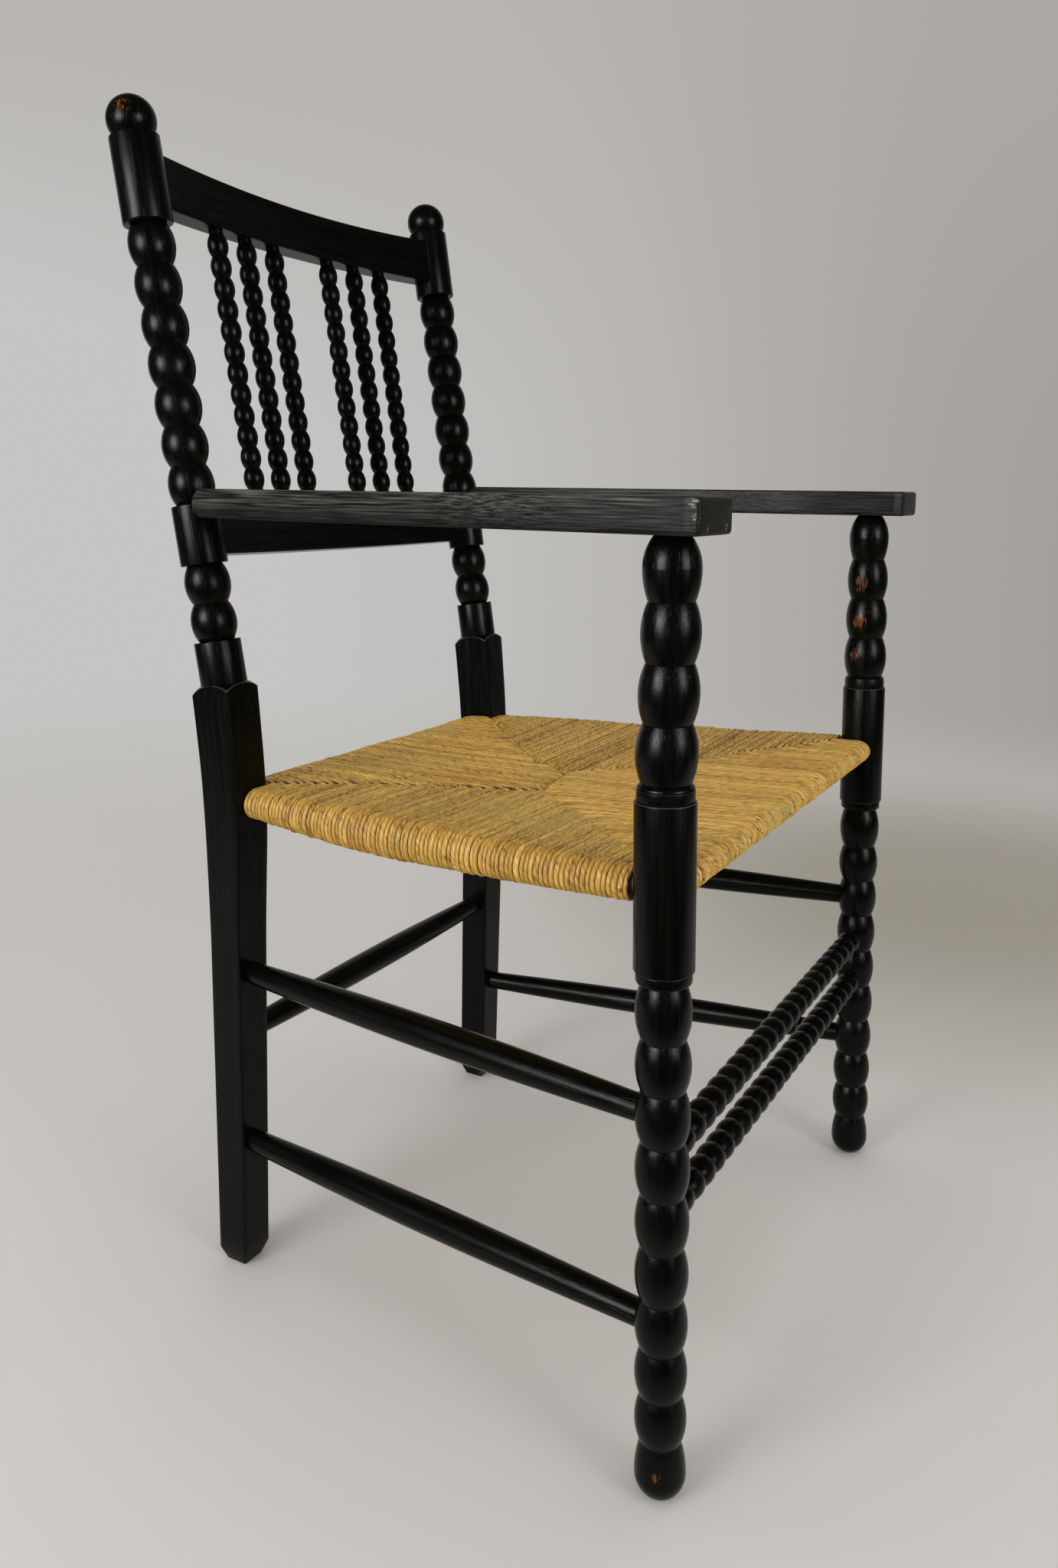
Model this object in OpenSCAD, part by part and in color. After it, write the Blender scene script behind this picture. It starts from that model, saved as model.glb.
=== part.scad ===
// Elbow chair with turned, beaded legs and posts, a spindle back and a rush seat.
// Millimetres. The chair faces -Y, +Z is up and +X is the sitter's left.
// Side -1 is the sitter's right and side 1 is the sitter's left.

/* [Overall] */
// distance between the two front legs' axes
front_spread = 505; // [460:1:560]
// height of the top face of the arms
arm_top = 682; // [640:1:720]
// how much higher the sitter's left arm is than the right one
left_arm_rise = 4.5; // [0:0.1:6]
// height of the tops of the ball finials
overall_height = 990; // [960:1:1020]
// play left between a tenon and its bore
fit_gap = 0.1; // [0.05:0.05:0.3]

/* [Front legs] */
// lean of the front legs towards the back, in degrees
leg_rake = 1.4; // [0:0.1:3]
// height of the neck above the foot
foot_height = 41; // [35:1:48]
// height of the middle of the foot's ball
foot_middle = 16.8; // [14:0.1:17.5]
// radius of the foot and of the lowest bead
low_bead_radius = 17.9; // [16:0.1:20]
// radius of the bead below the collar
high_bead_radius = 18.9; // [17:0.1:21]
// number of beads between the foot and the collar
lower_beads = 9; // [8:1:10]
// height where the beads stop and the collar starts
collar_height = 367.3; // [350:0.1:380]
// how deep the necks between beads are cut
leg_neck_depth = 3.9; // [3:0.1:5]
// how much longer the middle beads are than the end ones
bead_swell = 2.7; // [0:0.1:4]
// height where the plain cylinder for the seat rails starts
plain_from = 380; // [375:1:390]
// height where the plain cylinder ends
plain_to = 492.4; // [480:0.1:500]
// how much higher that end is on the sitter's left leg
left_block_rise = 2.8; // [0:0.1:4]
// radius of the plain cylinder
plain_radius = 20.15; // [19:0.05:22]
// radius of the ring under the plain cylinder
collar_radius = 17.5; // [16:0.1:19]
// thickness of the ring above the plain cylinder
ring_height = 10.9; // [8:0.1:13]
// radius of the ring above the plain cylinder
ring_radius = 19; // [18:0.1:20]
// length of each of the three regular beads above the ring
upper_bead_pitch = 38.1; // [36:0.1:40]
// radius of the first bead above the ring
upper_bead_radius = 20; // [19:0.1:21]
// radius of the last bead under the arm
last_bead_radius = 18.5; // [17:0.1:20]
// radius of the leg's end against the arm
leg_end_radius = 11; // [9:0.5:14]

/* [Back posts] */
// distance between the two back posts at the seat's height
post_spread = 401.2; // [380:0.1:420]
// how far the turned part's axis is behind the front legs' feet at the shoulder
post_back = 429.8; // [410:0.1:450]
// lean of the turned part towards the back, in degrees
post_rake = 9.39; // [5:0.01:12]
// lean of the turned part outwards, in degrees
post_splay = 0.894; // [0:0.001:2]
// height where the square leg meets the turned part
shoulder_height = 513; // [505:1:520]
// radius of the plain collar above the shoulder
post_collar_radius = 19.1; // [17:0.1:20]
// height where that collar ends
post_collar_top = 557.7; // [545:0.1:565]
// height of the bottom of the block that takes the arm
arm_block_from = 620.3; // [610:0.1:630]
// height of the top of that block
arm_block_to = 668.5; // [664:0.5:675]
// radius of that block
arm_block_radius = 19.2; // [17:0.1:20]
// number of beads between the arm block and the top block
post_beads = 7; // [6:1:8]
// radius of those beads
post_bead_radius = 18.75; // [17:0.05:20]
// radius of the necks between them
post_neck_radius = 14.1; // [12:0.1:16]
// height of the bottom of the block that takes the crest rail
top_block_from = 890.2; // [880:0.1:900]
// height of the top of that block
top_block_to = 958; // [950:1:965]
// radius of that block
top_block_radius = 20; // [17:0.1:21]
// radius of the ball finial
finial_radius = 19.8; // [17:0.1:21]
// radius of the low dome that the square leg's top is turned to
dome_radius = 26; // [24:0.5:32]
// height of that dome above the shoulder
dome_rise = 12.4; // [8:0.1:15]

/* [Square back legs] */
// how far the middle of the back feet is behind the front feet
back_foot_back = 427.6; // [410:0.1:445]
// forward lean of the back leg below the knee, per unit of height
foot_kick = 0.0132; // [0:0.0001:0.03]
// backward lean of the square leg above the knee, per unit of height
knee_lean = 0.1; // [0.05:0.005:0.17]
// height where the knee starts
knee_from = 380; // [360:1:400]
// height where the knee ends
knee_to = 470; // [440:1:490]
// front to back size of the back leg at the floor
leg_depth_low = 30; // [26:0.5:34]
// growth of that size per unit of height
leg_depth_growth = 0.0075; // [0:0.0005:0.02]
// extra front to back size gained at the knee
knee_swell = 5.3; // [3:0.1:9]
// height where that swelling starts
swell_from = 290; // [270:5:320]
// height where that swelling is complete
swell_to = 430; // [410:5:450]
// width of the back leg at the floor
leg_width_low = 31; // [28:0.5:34]
// width of the back leg at the shoulder
leg_width_high = 35.5; // [34:0.5:38]
// how far the bottom of the back legs is tapered in
foot_chamfer = 4.5; // [2:0.5:6]
// height of that taper
foot_chamfer_height = 12; // [6:0.5:16]

/* [Arms] */
// thickness of the arms
arm_thickness = 23; // [18:0.5:26]
// how far the arms reach in front of the front feet's axis
arm_reach = 19; // [12:0.5:26]
// width of the arm at its front end
arm_front_width = 55; // [48:0.5:62]
// how far the arm's outer edge is outside the leg's axis
arm_overhang = 37.5; // [30:0.5:44]
// width of the arm at the post
arm_rear_width = 37; // [34:0.5:40]
// how far behind the front feet's axis the arm starts to narrow
arm_waist_from = 70; // [50:5:90]
// how far behind that axis it has its rear width
arm_waist_to = 200; // [170:5:230]
// radius of the rounded corners of the arm's front end
arm_corner = 9; // [5:0.5:14]
// radius of the round tenons at both ends of the arm
arm_tenon_radius = 7; // [5:0.5:8]

/* [Back rails and spindles] */
// height of the middle of the crest rail
crest_height = 925.8; // [918:0.1:934]
// depth of the crest rail at its ends, top to bottom
crest_depth = 43.5; // [40:0.1:48]
// how much lower the crest rail's top edge is in the middle
crest_dip = 3; // [0.5:0.5:6]
// height of the middle of the lower back rail
low_rail_height = 644.7; // [640:0.1:650]
// depth of the lower back rail, top to bottom
low_rail_depth = 35.2; // [32:0.1:40]
// thickness of both back rails
back_rail_thickness = 20; // [16:0.5:24]
// how far both back rails bow backwards in the middle
back_rail_bow = 15.5; // [10:0.5:20]
// distance from one spindle to the next along the lower back rail
low_spindle_pitch = 38.5; // [36:0.1:41]
// distance from one spindle to the next along the crest rail
high_spindle_pitch = 39.3; // [37:0.1:42]
// number of beads on a spindle
spindle_beads = 13; // [12:1:14]
// radius of a spindle's beads
spindle_bead_radius = 9; // [8:0.1:10]
// radius of the necks between a spindle's beads
spindle_neck_radius = 6.2; // [5.5:0.1:7]

/* [Stretchers] */
// height of the upper side stretchers at the front legs
upper_side_front = 279; // [270:0.5:288]
// height of the upper side stretchers at the back legs
upper_side_back = 273.5; // [265:0.5:282]
// height of the lower side stretchers at the front legs
lower_side_front = 129; // [120:0.5:138]
// height of the lower side stretchers at the back legs
lower_side_back = 117; // [108:0.5:126]
// height of the back stretcher
back_stretcher_height = 213; // [200:0.5:225]
// radius of the plain stretchers at their ends
stretcher_end_radius = 9.3; // [8:0.1:10]
// radius of the plain stretchers in the middle
stretcher_middle_radius = 12.4; // [11:0.1:14]
// height of the upper beaded stretcher at the sitter's right
upper_front_height = 248.8; // [244:0.1:254]
// height of the lower beaded stretcher at the sitter's right
lower_front_height = 205; // [198:0.5:210]
// how much lower the beaded stretchers are at the sitter's left
front_stretcher_drop = 10.9; // [0:0.1:14]
// number of beads on each beaded stretcher
stretcher_beads = 23; // [21:1:25]
// radius of the beads of the beaded stretchers
stretcher_bead_radius = 10.75; // [9.5:0.05:12]
// radius of the necks of the beaded stretchers
stretcher_neck_radius = 7.9; // [7:0.1:9]

/* [Seat] */
// radius of the hidden seat rails
seat_rail_radius = 7.5; // [6:0.5:8.5]
// height of the seat rails' axes at the front
seat_front_height = 434.5; // [425:0.5:445]
// height of the seat rails' axes at the back
seat_back_height = 424; // [415:0.5:435]
// distance between the side rails' axes at the back legs
seat_back_spread = 391; // [380:1:400]
// how far the rush stands out from a rail's axis
roll_reach = 14; // [11:0.5:16]
// thickness of the rush at the front edge
seat_thickness = 22.5; // [20:0.5:28]
// how far the rush hangs below the side rails in the middle
seat_belly = 11; // [4:0.5:16]
// how far the middle of the seat's top is dished
seat_dish = 4; // [0:0.5:10]
// gap between the rush and the legs it is wrapped up to
rush_gap = 0.5; // [0.3:0.1:1]
// power that moves the deepest place of the belly backwards from the middle
belly_shift = 1.3; // [1:0.1:1.6]

/* [Hidden] */
$fn = 96;
part_wood = [0.09, 0.09, 0.08];
part_rush = [0.80, 0.68, 0.42];
fine = 720;
lap = 0.02;
swell_steps = 16;
grow_up = 1 / (cos(post_rake) * cos(post_splay));
tenon_depth = 12;
seat_tenon_depth = 11;
side_rail_tenon_depth = 10;
knee_room = 1;
beyond = 300;
arm_tenon_height = 15;
arm_tenon_stop = 4;
arm_end_sink = 1.2;
arm_edge = 4;
arm_steps = 12;
leg_seat_edge = 1;
plain_edge = 1;
block_edge = 0.8;
top_block_edge = 1.5;
groove_height = 2.7;
collar_ring_height = 7;
leg_groove_radius = 15.2;
collar_sink = 6;
dome_out = 7;
square_stock = 18;
rail_tenon_reach = 30;
rail_tenon_stop = 6;
crest_tenon = [10, 32];
low_rail_tenon = [10, 26];
spindle_tenon_radius = 5;
spindle_tenon_length = 12;
spindle_stub = 3.5;
stretcher_tenon_radius = 6.6;
seat_steps = 30;
leg_steps = 24;
leg_clearance = plain_radius + rush_gap;
finial_middle = overall_height - finial_radius;
arm_space = max(arm_block_radius, post_bead_radius) + fit_gap;

// Where things are
function front_leg(side, z) = [side * front_spread / 2, z * tan(leg_rake), z];

// The sitter's left leg and arm are a little taller than the right ones
function left(side) = side > 0 ? 1 : 0;

function block_top(side) = plain_to + left(side) * left_block_rise;

function arm_bottom(side) = arm_top + left(side) * left_arm_rise - arm_thickness;

function arm_middle(side) = arm_bottom(side) + arm_thickness / 2;

function front_leg_top(side) = arm_bottom(side) / cos(leg_rake);

function post_line(side, z) = [
    side * (post_spread / 2 + (z - shoulder_height) * tan(post_splay)),
    post_back + (z - shoulder_height) * tan(post_rake) / cos(post_splay),
    z
];

// Height above a bend that starts at low and is complete at high, for unit lean
function bend(z, low, high) =
    z < low ? 0 : z < high ? pow(z - low, 2) / (2 * (high - low)) : z - (low + high) / 2;

function smooth(t) = t < 0 ? 0 : t > 1 ? 1 : t * t * (3 - 2 * t);

function square_leg(side, z) = [
    side * post_spread / 2,
    back_foot_back - foot_kick * z + (knee_lean + foot_kick) * bend(z, knee_from, knee_to),
    z
];

function leg_depth(z) =
    leg_depth_low + leg_depth_growth * z
    + knee_swell * smooth((z - swell_from) / (swell_to - swell_from));

function leg_width(z) =
    leg_width_low + (leg_width_high - leg_width_low) * z / shoulder_height;

// A point of the leaning back plane: x across, bow backwards, up along the lean
function in_back(z, p) = [
    p[0],
    post_line(1, z)[1] + p[1] * cos(post_rake) + p[2] * sin(post_rake),
    z - p[1] * sin(post_rake) + p[2] * cos(post_rake)
];

bow_half = post_spread / 2;
bow_radius = (bow_half * bow_half + back_rail_bow * back_rail_bow) / (2 * back_rail_bow);

function bow(x) = sqrt(bow_radius * bow_radius - x * x) - (bow_radius - back_rail_bow);

function seat_rail_front(side) = front_leg(side, seat_front_height);

function seat_rail_back(side) = [
    side * seat_back_spread / 2,
    square_leg(side, seat_back_height)[1],
    seat_back_height
];

// The rearmost thing is a finial or the middle of the crest rail's top edge
rear_reach = max(
    post_line(1, finial_middle)[1] + finial_radius,
    in_back(crest_height, [0, back_rail_bow + back_rail_thickness / 2,
        crest_depth / 2 - crest_dip])[1]
);
mid_depth = (rear_reach - arm_reach) / 2;

// Placing
module placed() {
    translate([0, -mid_depth, 0]) children();
}

// Turns +Z onto the line from a to b, with its origin at a
module between(a, b) {
    d = b - a;
    translate(a) rotate([0, acos(d[2] / norm(d)), atan2(d[1], d[0])]) children();
}

module rod_space(a, b, from, to, radius) {
    between(a, b) translate([0, 0, from]) cylinder(r = radius, h = to - from);
}

module on_post(side) {
    translate(post_line(side, shoulder_height))
        rotate([-post_rake, side * post_splay, 0]) children();
}

module in_back_frame(z) {
    translate(in_back(z, [0, 0, 0])) rotate([-post_rake, 0, 0]) children();
}

// Half outlines for turning
module bead(low, high, belly, neck) {
    half = (high - low) / 2;
    rise = belly - neck;
    arc = (half * half + rise * rise) / (2 * rise);
    intersection() {
        translate([0, low - lap]) square([2 * belly, high - low + 2 * lap]);
        translate([belly - arc, low + half]) circle(arc, $fn = fine);
    }
}

// The part of a bead between its widest place and one of its ends
module half_bead(widest, end, belly, neck, past = 0) {
    half = abs(end - widest);
    rise = belly - neck;
    arc = (half * half + rise * rise) / (2 * rise);
    low = min(widest - past, end);
    high = max(widest, end + lap);
    intersection() {
        translate([0, low]) square([2 * belly, high - low]);
        translate([belly - arc, widest]) circle(arc, $fn = fine);
    }
}

module plain(low, high, radius, edge = 0) {
    polygon([
        [0, low], [radius - edge, low], [radius, low + edge],
        [radius, high - edge], [radius - edge, high], [0, high]
    ]);
}

// A core that joins one outline to the next
module core(low, high, radius) {
    translate([0, low]) square([radius, high - low]);
}

// A long, slightly swollen rod
module swollen(low, high, end, middle) {
    polygon(concat(
        [[0, low - lap]],
        [for (k = [0 : swell_steps])
            [end + (middle - end) * sin(180 * k / swell_steps), low + (high - low) * k / swell_steps]],
        [[0, high + lap]]
    ));
}

module half_round(low, high, radius) {
    half = (high - low) / 2;
    union() {
        translate([0, low]) square([radius - half, high - low]);
        translate([radius - half, low + half]) circle(half);
    }
}

// Heights of the necks on the lower front leg, longest beads in the middle
function lower_neck(k) =
    foot_height + (collar_height - foot_height) * k / lower_beads
    - bead_swell * sin(360 * k / lower_beads);

function lower_belly(k) =
    low_bead_radius
    + (high_bead_radius - low_bead_radius) * (k + 0.5) / lower_beads;

// Front legs
module foot_outline() {
    intersection() {
        translate([0, foot_middle - 2 * low_bead_radius])
            square([2 * low_bead_radius, 2 * low_bead_radius + lap]);
        translate([0, foot_middle]) circle(low_bead_radius, $fn = fine);
    }
    half_bead(foot_middle, foot_height, low_bead_radius, low_bead_radius - leg_neck_depth);
}

module front_leg_outline(side) {
    top = front_leg_top(side);
    ring_top = block_top(side) + ring_height;
    core(foot_middle, top + arm_tenon_height, arm_tenon_radius);
    foot_outline();
    for (k = [0 : lower_beads - 1])
        bead(lower_neck(k), lower_neck(k + 1), lower_belly(k), lower_belly(k) - leg_neck_depth);
    plain(collar_height, collar_height + groove_height, leg_groove_radius);
    half_round(collar_height + groove_height,
        collar_height + groove_height + collar_ring_height, collar_radius);
    plain(collar_height + groove_height + collar_ring_height, plain_from, leg_groove_radius);
    plain(plain_from, block_top(side), plain_radius, plain_edge);
    half_round(block_top(side), ring_top, ring_radius);
    for (k = [0 : 2]) {
        from = ring_top + k * upper_bead_pitch;
        belly = upper_bead_radius + (last_bead_radius - upper_bead_radius) * k / 3;
        bead(from, from + upper_bead_pitch, belly, belly - leg_neck_depth);
    }
    last_from = ring_top + 3 * upper_bead_pitch;
    last_middle = (last_from + top) / 2;
    half_bead(last_middle, last_from, last_bead_radius, last_bead_radius - leg_neck_depth);
    half_bead(last_middle, top, last_bead_radius, leg_end_radius, lap);
}

module front_leg_body(side) {
    difference() {
        translate(front_leg(side, 0)) rotate([-leg_rake, 0, 0])
            rotate_extrude() front_leg_outline(side);
        translate(front_leg(side, 0) - [0, 0, low_bead_radius])
            cube(2 * low_bead_radius, center = true);
        side_stretcher_bore(side, upper_side_front, upper_side_back);
        side_stretcher_bore(side, lower_side_front, lower_side_back);
        front_stretcher_bore(upper_front_height);
        front_stretcher_bore(lower_front_height);
        side_seat_rail_rod(side, fit_gap);
        front_seat_rail_rod(fit_gap);
    }
}

module right_front_leg() {
    color(part_wood) placed() front_leg_body(-1);
}

module left_front_leg() {
    color(part_wood) placed() front_leg_body(1);
}

// Back posts
function up(z) = (z - shoulder_height) * grow_up;

module post_outline() {
    core(-collar_sink, up(finial_middle), arm_tenon_radius);
    plain(-collar_sink, up(post_collar_top), post_collar_radius, block_edge);
    for (k = [0, 1]) {
        pitch = (arm_block_from - post_collar_top) / 2;
        from = post_collar_top + k * pitch;
        bead(up(from), up(from + pitch), post_bead_radius, post_neck_radius);
    }
    plain(up(arm_block_from), up(arm_block_to), arm_block_radius, block_edge);
    for (k = [0 : post_beads - 1]) {
        pitch = (top_block_from - arm_block_to) / post_beads;
        from = arm_block_to + k * pitch;
        bead(up(from), up(from + pitch), post_bead_radius, post_neck_radius);
    }
    plain(up(top_block_from), up(top_block_to), top_block_radius, top_block_edge);
    intersection() {
        translate([0, up(top_block_to)]) square(2 * finial_radius);
        translate([0, up(finial_middle)]) circle(finial_radius, $fn = fine);
    }
}

// What the turner's gouge takes off the square leg's top, leaving a low dome
module shoulder_cut(side) {
    on_post(side) rotate_extrude() translate([0, dome_rise - dome_radius]) difference() {
        square(2 * dome_radius);
        translate([dome_out, 0]) circle(dome_radius, $fn = fine);
    }
}

module square_leg_body(side) {
    top = shoulder_height + square_stock;
    side_outline = concat(
        [for (k = [0 : leg_steps]) edge_point(k, top, -1)],
        [for (k = [leg_steps : -1 : 0]) edge_point(k, top, 1)]
    );
    wide = leg_width_low / 2;
    wide_top = leg_width(top) / 2;
    difference() {
        intersection() {
            translate([side * post_spread / 2, 0, 0]) rotate([90, 0, 90])
                linear_extrude(height = beyond, center = true) polygon(side_outline);
            translate([side * post_spread / 2, post_back, 0]) rotate([90, 0, 0])
                linear_extrude(height = beyond, center = true) polygon([
                    [foot_chamfer - wide, 0], [-wide, foot_chamfer_height], [-wide_top, top],
                    [wide_top, top], [wide, foot_chamfer_height], [wide - foot_chamfer, 0]
                ]);
        }
        shoulder_cut(side);
    }
}

// Step 0 is the floor with its taper, and the rest go up evenly from the taper's top
function edge_point(k, top, way) =
    let (low = foot_chamfer_height)
    let (z = k == 0 ? 0 : low + (top - low) * (k - 1) / (leg_steps - 1))
    [
        square_leg(1, z)[1] + way * (leg_depth(z) / 2 - (k == 0 ? foot_chamfer : 0)),
        z
    ];

module back_post_body(side) {
    difference() {
        union() {
            square_leg_body(side);
            on_post(side) rotate_extrude() post_outline();
        }
        side_stretcher_bore(side, upper_side_front, upper_side_back);
        side_stretcher_bore(side, lower_side_front, lower_side_back);
        back_stretcher_bore();
        side_seat_rail_rod(side, fit_gap);
        back_seat_rail_rod(fit_gap);
        arm_tenon(side, fit_gap);
        rail_tenons(crest_height, crest_tenon, fit_gap);
        rail_tenons(low_rail_height, low_rail_tenon, fit_gap);
    }
}

module right_back_post() {
    color(part_wood) placed() back_post_body(-1);
}

module left_back_post() {
    color(part_wood) placed() back_post_body(1);
}

// Arms
// The outer edge is straight, and the inner one is drawn in behind the front leg
function arm_width(y) =
    arm_front_width + (arm_rear_width - arm_front_width)
    * smooth((y - arm_waist_from) / (arm_waist_to - arm_waist_from));

module arm_plan(side) {
    front = arm_corner - arm_reach;
    outer_front = side * (front_spread / 2 + arm_overhang);
    inner_front = outer_front - side * arm_front_width;
    rear = post_line(side, arm_middle(side));
    outer_rear = rear[0] + side * arm_rear_width / 2;
    inner_rear = rear[0] - side * arm_rear_width / 2;
    corner_out = outer_front - side * arm_corner;
    corner_in = inner_front + side * arm_corner;
    slope = (outer_rear - outer_front) / (rear[1] - front);
    waist = [
        for (k = [arm_steps : -1 : 0])
        let (y = arm_waist_from + (arm_waist_to - arm_waist_from) * k / arm_steps)
        [outer_front + slope * (y - front) - side * arm_width(y), y]
    ];
    translate([corner_out, front]) circle(arm_corner);
    translate([corner_in, front]) circle(arm_corner);
    polygon(concat(
        [
            [corner_in, front - arm_corner], [corner_out, front - arm_corner],
            [corner_out, front], [outer_front, front], [outer_rear, rear[1]],
            [inner_rear, rear[1]]
        ],
        waist,
        [[inner_front, front], [corner_in, front]]
    ));
}

// Side view: an eased front end and a half-round end against the post
module arm_side_outline(bottom, rear_end) {
    half = arm_thickness / 2;
    front = arm_edge - arm_reach;
    translate([front, bottom + arm_edge]) circle(arm_edge);
    translate([front, bottom + arm_thickness - arm_edge]) circle(arm_edge);
    translate([-arm_reach, bottom + arm_edge])
        square([2 * arm_edge, arm_thickness - 2 * arm_edge]);
    translate([front, bottom]) square([rear_end - half - front, arm_thickness]);
    translate([rear_end - half, bottom + half]) circle(half);
}

module arm_tenon(side, gap) {
    front = front_leg(side, arm_middle(side));
    rear = post_line(side, arm_middle(side));
    long = norm(rear - front);
    from = long - arm_block_radius - tenon_depth;
    rod_space(front, rear, from, long - arm_tenon_stop + gap, arm_tenon_radius + gap);
}

// The leg's tenon and its tilted shoulder, taken out of the arm
module leg_seat(side) {
    top = front_leg_top(side);
    translate(front_leg(side, 0)) rotate([-leg_rake, 0, 0]) {
        cylinder(r = arm_tenon_radius + fit_gap, h = top + arm_tenon_height + fit_gap);
        cylinder(r = leg_end_radius + leg_seat_edge, h = top + fit_gap / 2);
    }
}

module arm_body(side) {
    bottom = arm_bottom(side);
    rear_end = post_line(side, arm_middle(side))[1] - arm_block_radius + arm_end_sink;
    difference() {
        union() {
            difference() {
                intersection() {
                    translate([0, 0, bottom - fit_gap])
                        linear_extrude(height = arm_thickness + 2 * fit_gap) arm_plan(side);
                    translate([side * front_spread / 2, 0, 0]) rotate([90, 0, 90])
                        linear_extrude(height = beyond, center = true)
                        arm_side_outline(bottom, rear_end);
                }
                on_post(side) translate([0, 0, up(arm_middle(side))])
                    cylinder(r = arm_space, h = 2 * arm_thickness, center = true);
            }
            arm_tenon(side, 0);
        }
        leg_seat(side);
    }
}

module right_arm() {
    color(part_wood) placed() arm_body(-1);
}

module left_arm() {
    color(part_wood) placed() arm_body(1);
}

// Back rails
module rail_tenons(z, size, gap) {
    axis = post_line(1, z)[0];
    long = rail_tenon_reach - rail_tenon_stop + gap;
    for (side = [-1, 1])
        in_back_frame(z) translate([side * (axis - rail_tenon_reach + long / 2), 0, 0])
            cube([long, size[0] + 2 * gap, size[1] + 2 * gap], center = true);
}

module bowed_slab(depth) {
    reach = post_spread / 2 + rail_tenon_reach;
    middle = bow_radius - back_rail_bow;
    intersection() {
        translate([0, -middle, -depth / 2]) difference() {
            cylinder(r = bow_radius + back_rail_thickness / 2, h = depth, $fn = fine);
            translate([0, 0, -1])
                cylinder(r = bow_radius - back_rail_thickness / 2, h = depth + 2, $fn = fine);
        }
        cube([2 * reach, beyond, 2 * depth], center = true);
    }
}

// Both posts' turned blocks, taken out of the rails so that their shoulders fit round them
module post_space(radius, z) {
    for (side = [-1, 1]) {
        on_post(side) translate([0, 0, up(z)])
            cylinder(r = radius + fit_gap, h = beyond, center = true);
        translate(post_line(side, z) + [side * beyond / 2, 0, 0]) cube(beyond, center = true);
    }
}

module trimmed_rail(z, depth, size, radius) {
    difference() {
        in_back_frame(z) bowed_slab(depth);
        post_space(radius, z);
    }
    rail_tenons(z, size, 0);
}

// What the crest rail's top edge is hollowed by, nothing at the posts and most in the middle
module crest_hollow() {
    edge = crest_depth / 2;
    rotate([90, 0, 0]) linear_extrude(height = beyond, center = true) polygon(concat(
        [for (k = [-swell_steps : swell_steps])
            [bow_half * k / swell_steps, edge - crest_dip * (1 - pow(k / swell_steps, 2))]],
        [[bow_half, crest_depth], [-bow_half, crest_depth]]
    ));
}

module crest_rail() {
    color(part_wood) placed() difference() {
        trimmed_rail(crest_height, crest_depth, crest_tenon, top_block_radius);
        in_back_frame(crest_height) crest_hollow();
        spindle_bores();
    }
}

module lower_back_rail() {
    color(part_wood) placed() difference() {
        trimmed_rail(low_rail_height, low_rail_depth, low_rail_tenon, arm_block_radius);
        spindle_bores();
    }
}

// Spindles, counted from the sitter's right with the middle place left empty
function spindle_place(k) = k < 3 ? k - 3 : k - 2;

function spindle_low(k) =
    let (x = spindle_place(k) * low_spindle_pitch)
    in_back(low_rail_height, [x, bow(x), low_rail_depth / 2]);

function spindle_high(k) =
    let (x = spindle_place(k) * high_spindle_pitch)
    in_back(crest_height, [x, bow(x), -crest_depth / 2]);

module spindle_bores() {
    for (k = [0 : 5])
        rod_space(spindle_low(k), spindle_high(k), -spindle_tenon_length - fit_gap,
            norm(spindle_high(k) - spindle_low(k)) + spindle_tenon_length + fit_gap,
            spindle_tenon_radius + fit_gap);
}

module spindle_outline(long) {
    pitch = (long - 2 * spindle_stub) / spindle_beads;
    core(-spindle_tenon_length / 2, long, spindle_tenon_radius / 2);
    plain(-spindle_tenon_length, fit_gap, spindle_tenon_radius);
    plain(fit_gap, spindle_stub, spindle_neck_radius);
    for (k = [0 : spindle_beads - 1])
        bead(spindle_stub + k * pitch, spindle_stub + (k + 1) * pitch,
            spindle_bead_radius, spindle_neck_radius);
    plain(long - spindle_stub, long - fit_gap, spindle_neck_radius);
    plain(long - fit_gap, long + spindle_tenon_length, spindle_tenon_radius);
}

module spindle(k) {
    color(part_wood) placed() between(spindle_low(k), spindle_high(k))
        rotate_extrude() spindle_outline(norm(spindle_high(k) - spindle_low(k)));
}

module back_spindle_1() {
    spindle(0);
}

module back_spindle_2() {
    spindle(1);
}

module back_spindle_3() {
    spindle(2);
}

module back_spindle_4() {
    spindle(3);
}

module back_spindle_5() {
    spindle(4);
}

module back_spindle_6() {
    spindle(5);
}

// Plain stretchers
module stretcher(a, b, near, far) {
    bore = stretcher_end_radius;
    long = norm(b - a);
    between(a, b) rotate_extrude() {
        core(near - tenon_depth / 2, long - far + tenon_depth / 2, bore / 2);
        plain(near - tenon_depth, near, bore);
        swollen(near, long - far, bore, stretcher_middle_radius);
        plain(long - far, long - far + tenon_depth, bore);
    }
}

module side_stretcher_bore(side, front_z, back_z) {
    a = front_leg(side, front_z);
    b = square_leg(side, back_z);
    rod_space(a, b, low_bead_radius - tenon_depth - fit_gap,
        norm(b - a) - leg_depth(back_z) / 2 + tenon_depth + fit_gap,
        stretcher_end_radius + fit_gap);
}

module side_stretcher(side, front_z, back_z) {
    color(part_wood) placed()
        stretcher(front_leg(side, front_z), square_leg(side, back_z),
            low_bead_radius, leg_depth(back_z) / 2);
}

module right_upper_side_stretcher() {
    side_stretcher(-1, upper_side_front, upper_side_back);
}

module right_lower_side_stretcher() {
    side_stretcher(-1, lower_side_front, lower_side_back);
}

module left_upper_side_stretcher() {
    side_stretcher(1, upper_side_front, upper_side_back);
}

module left_lower_side_stretcher() {
    side_stretcher(1, lower_side_front, lower_side_back);
}

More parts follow.
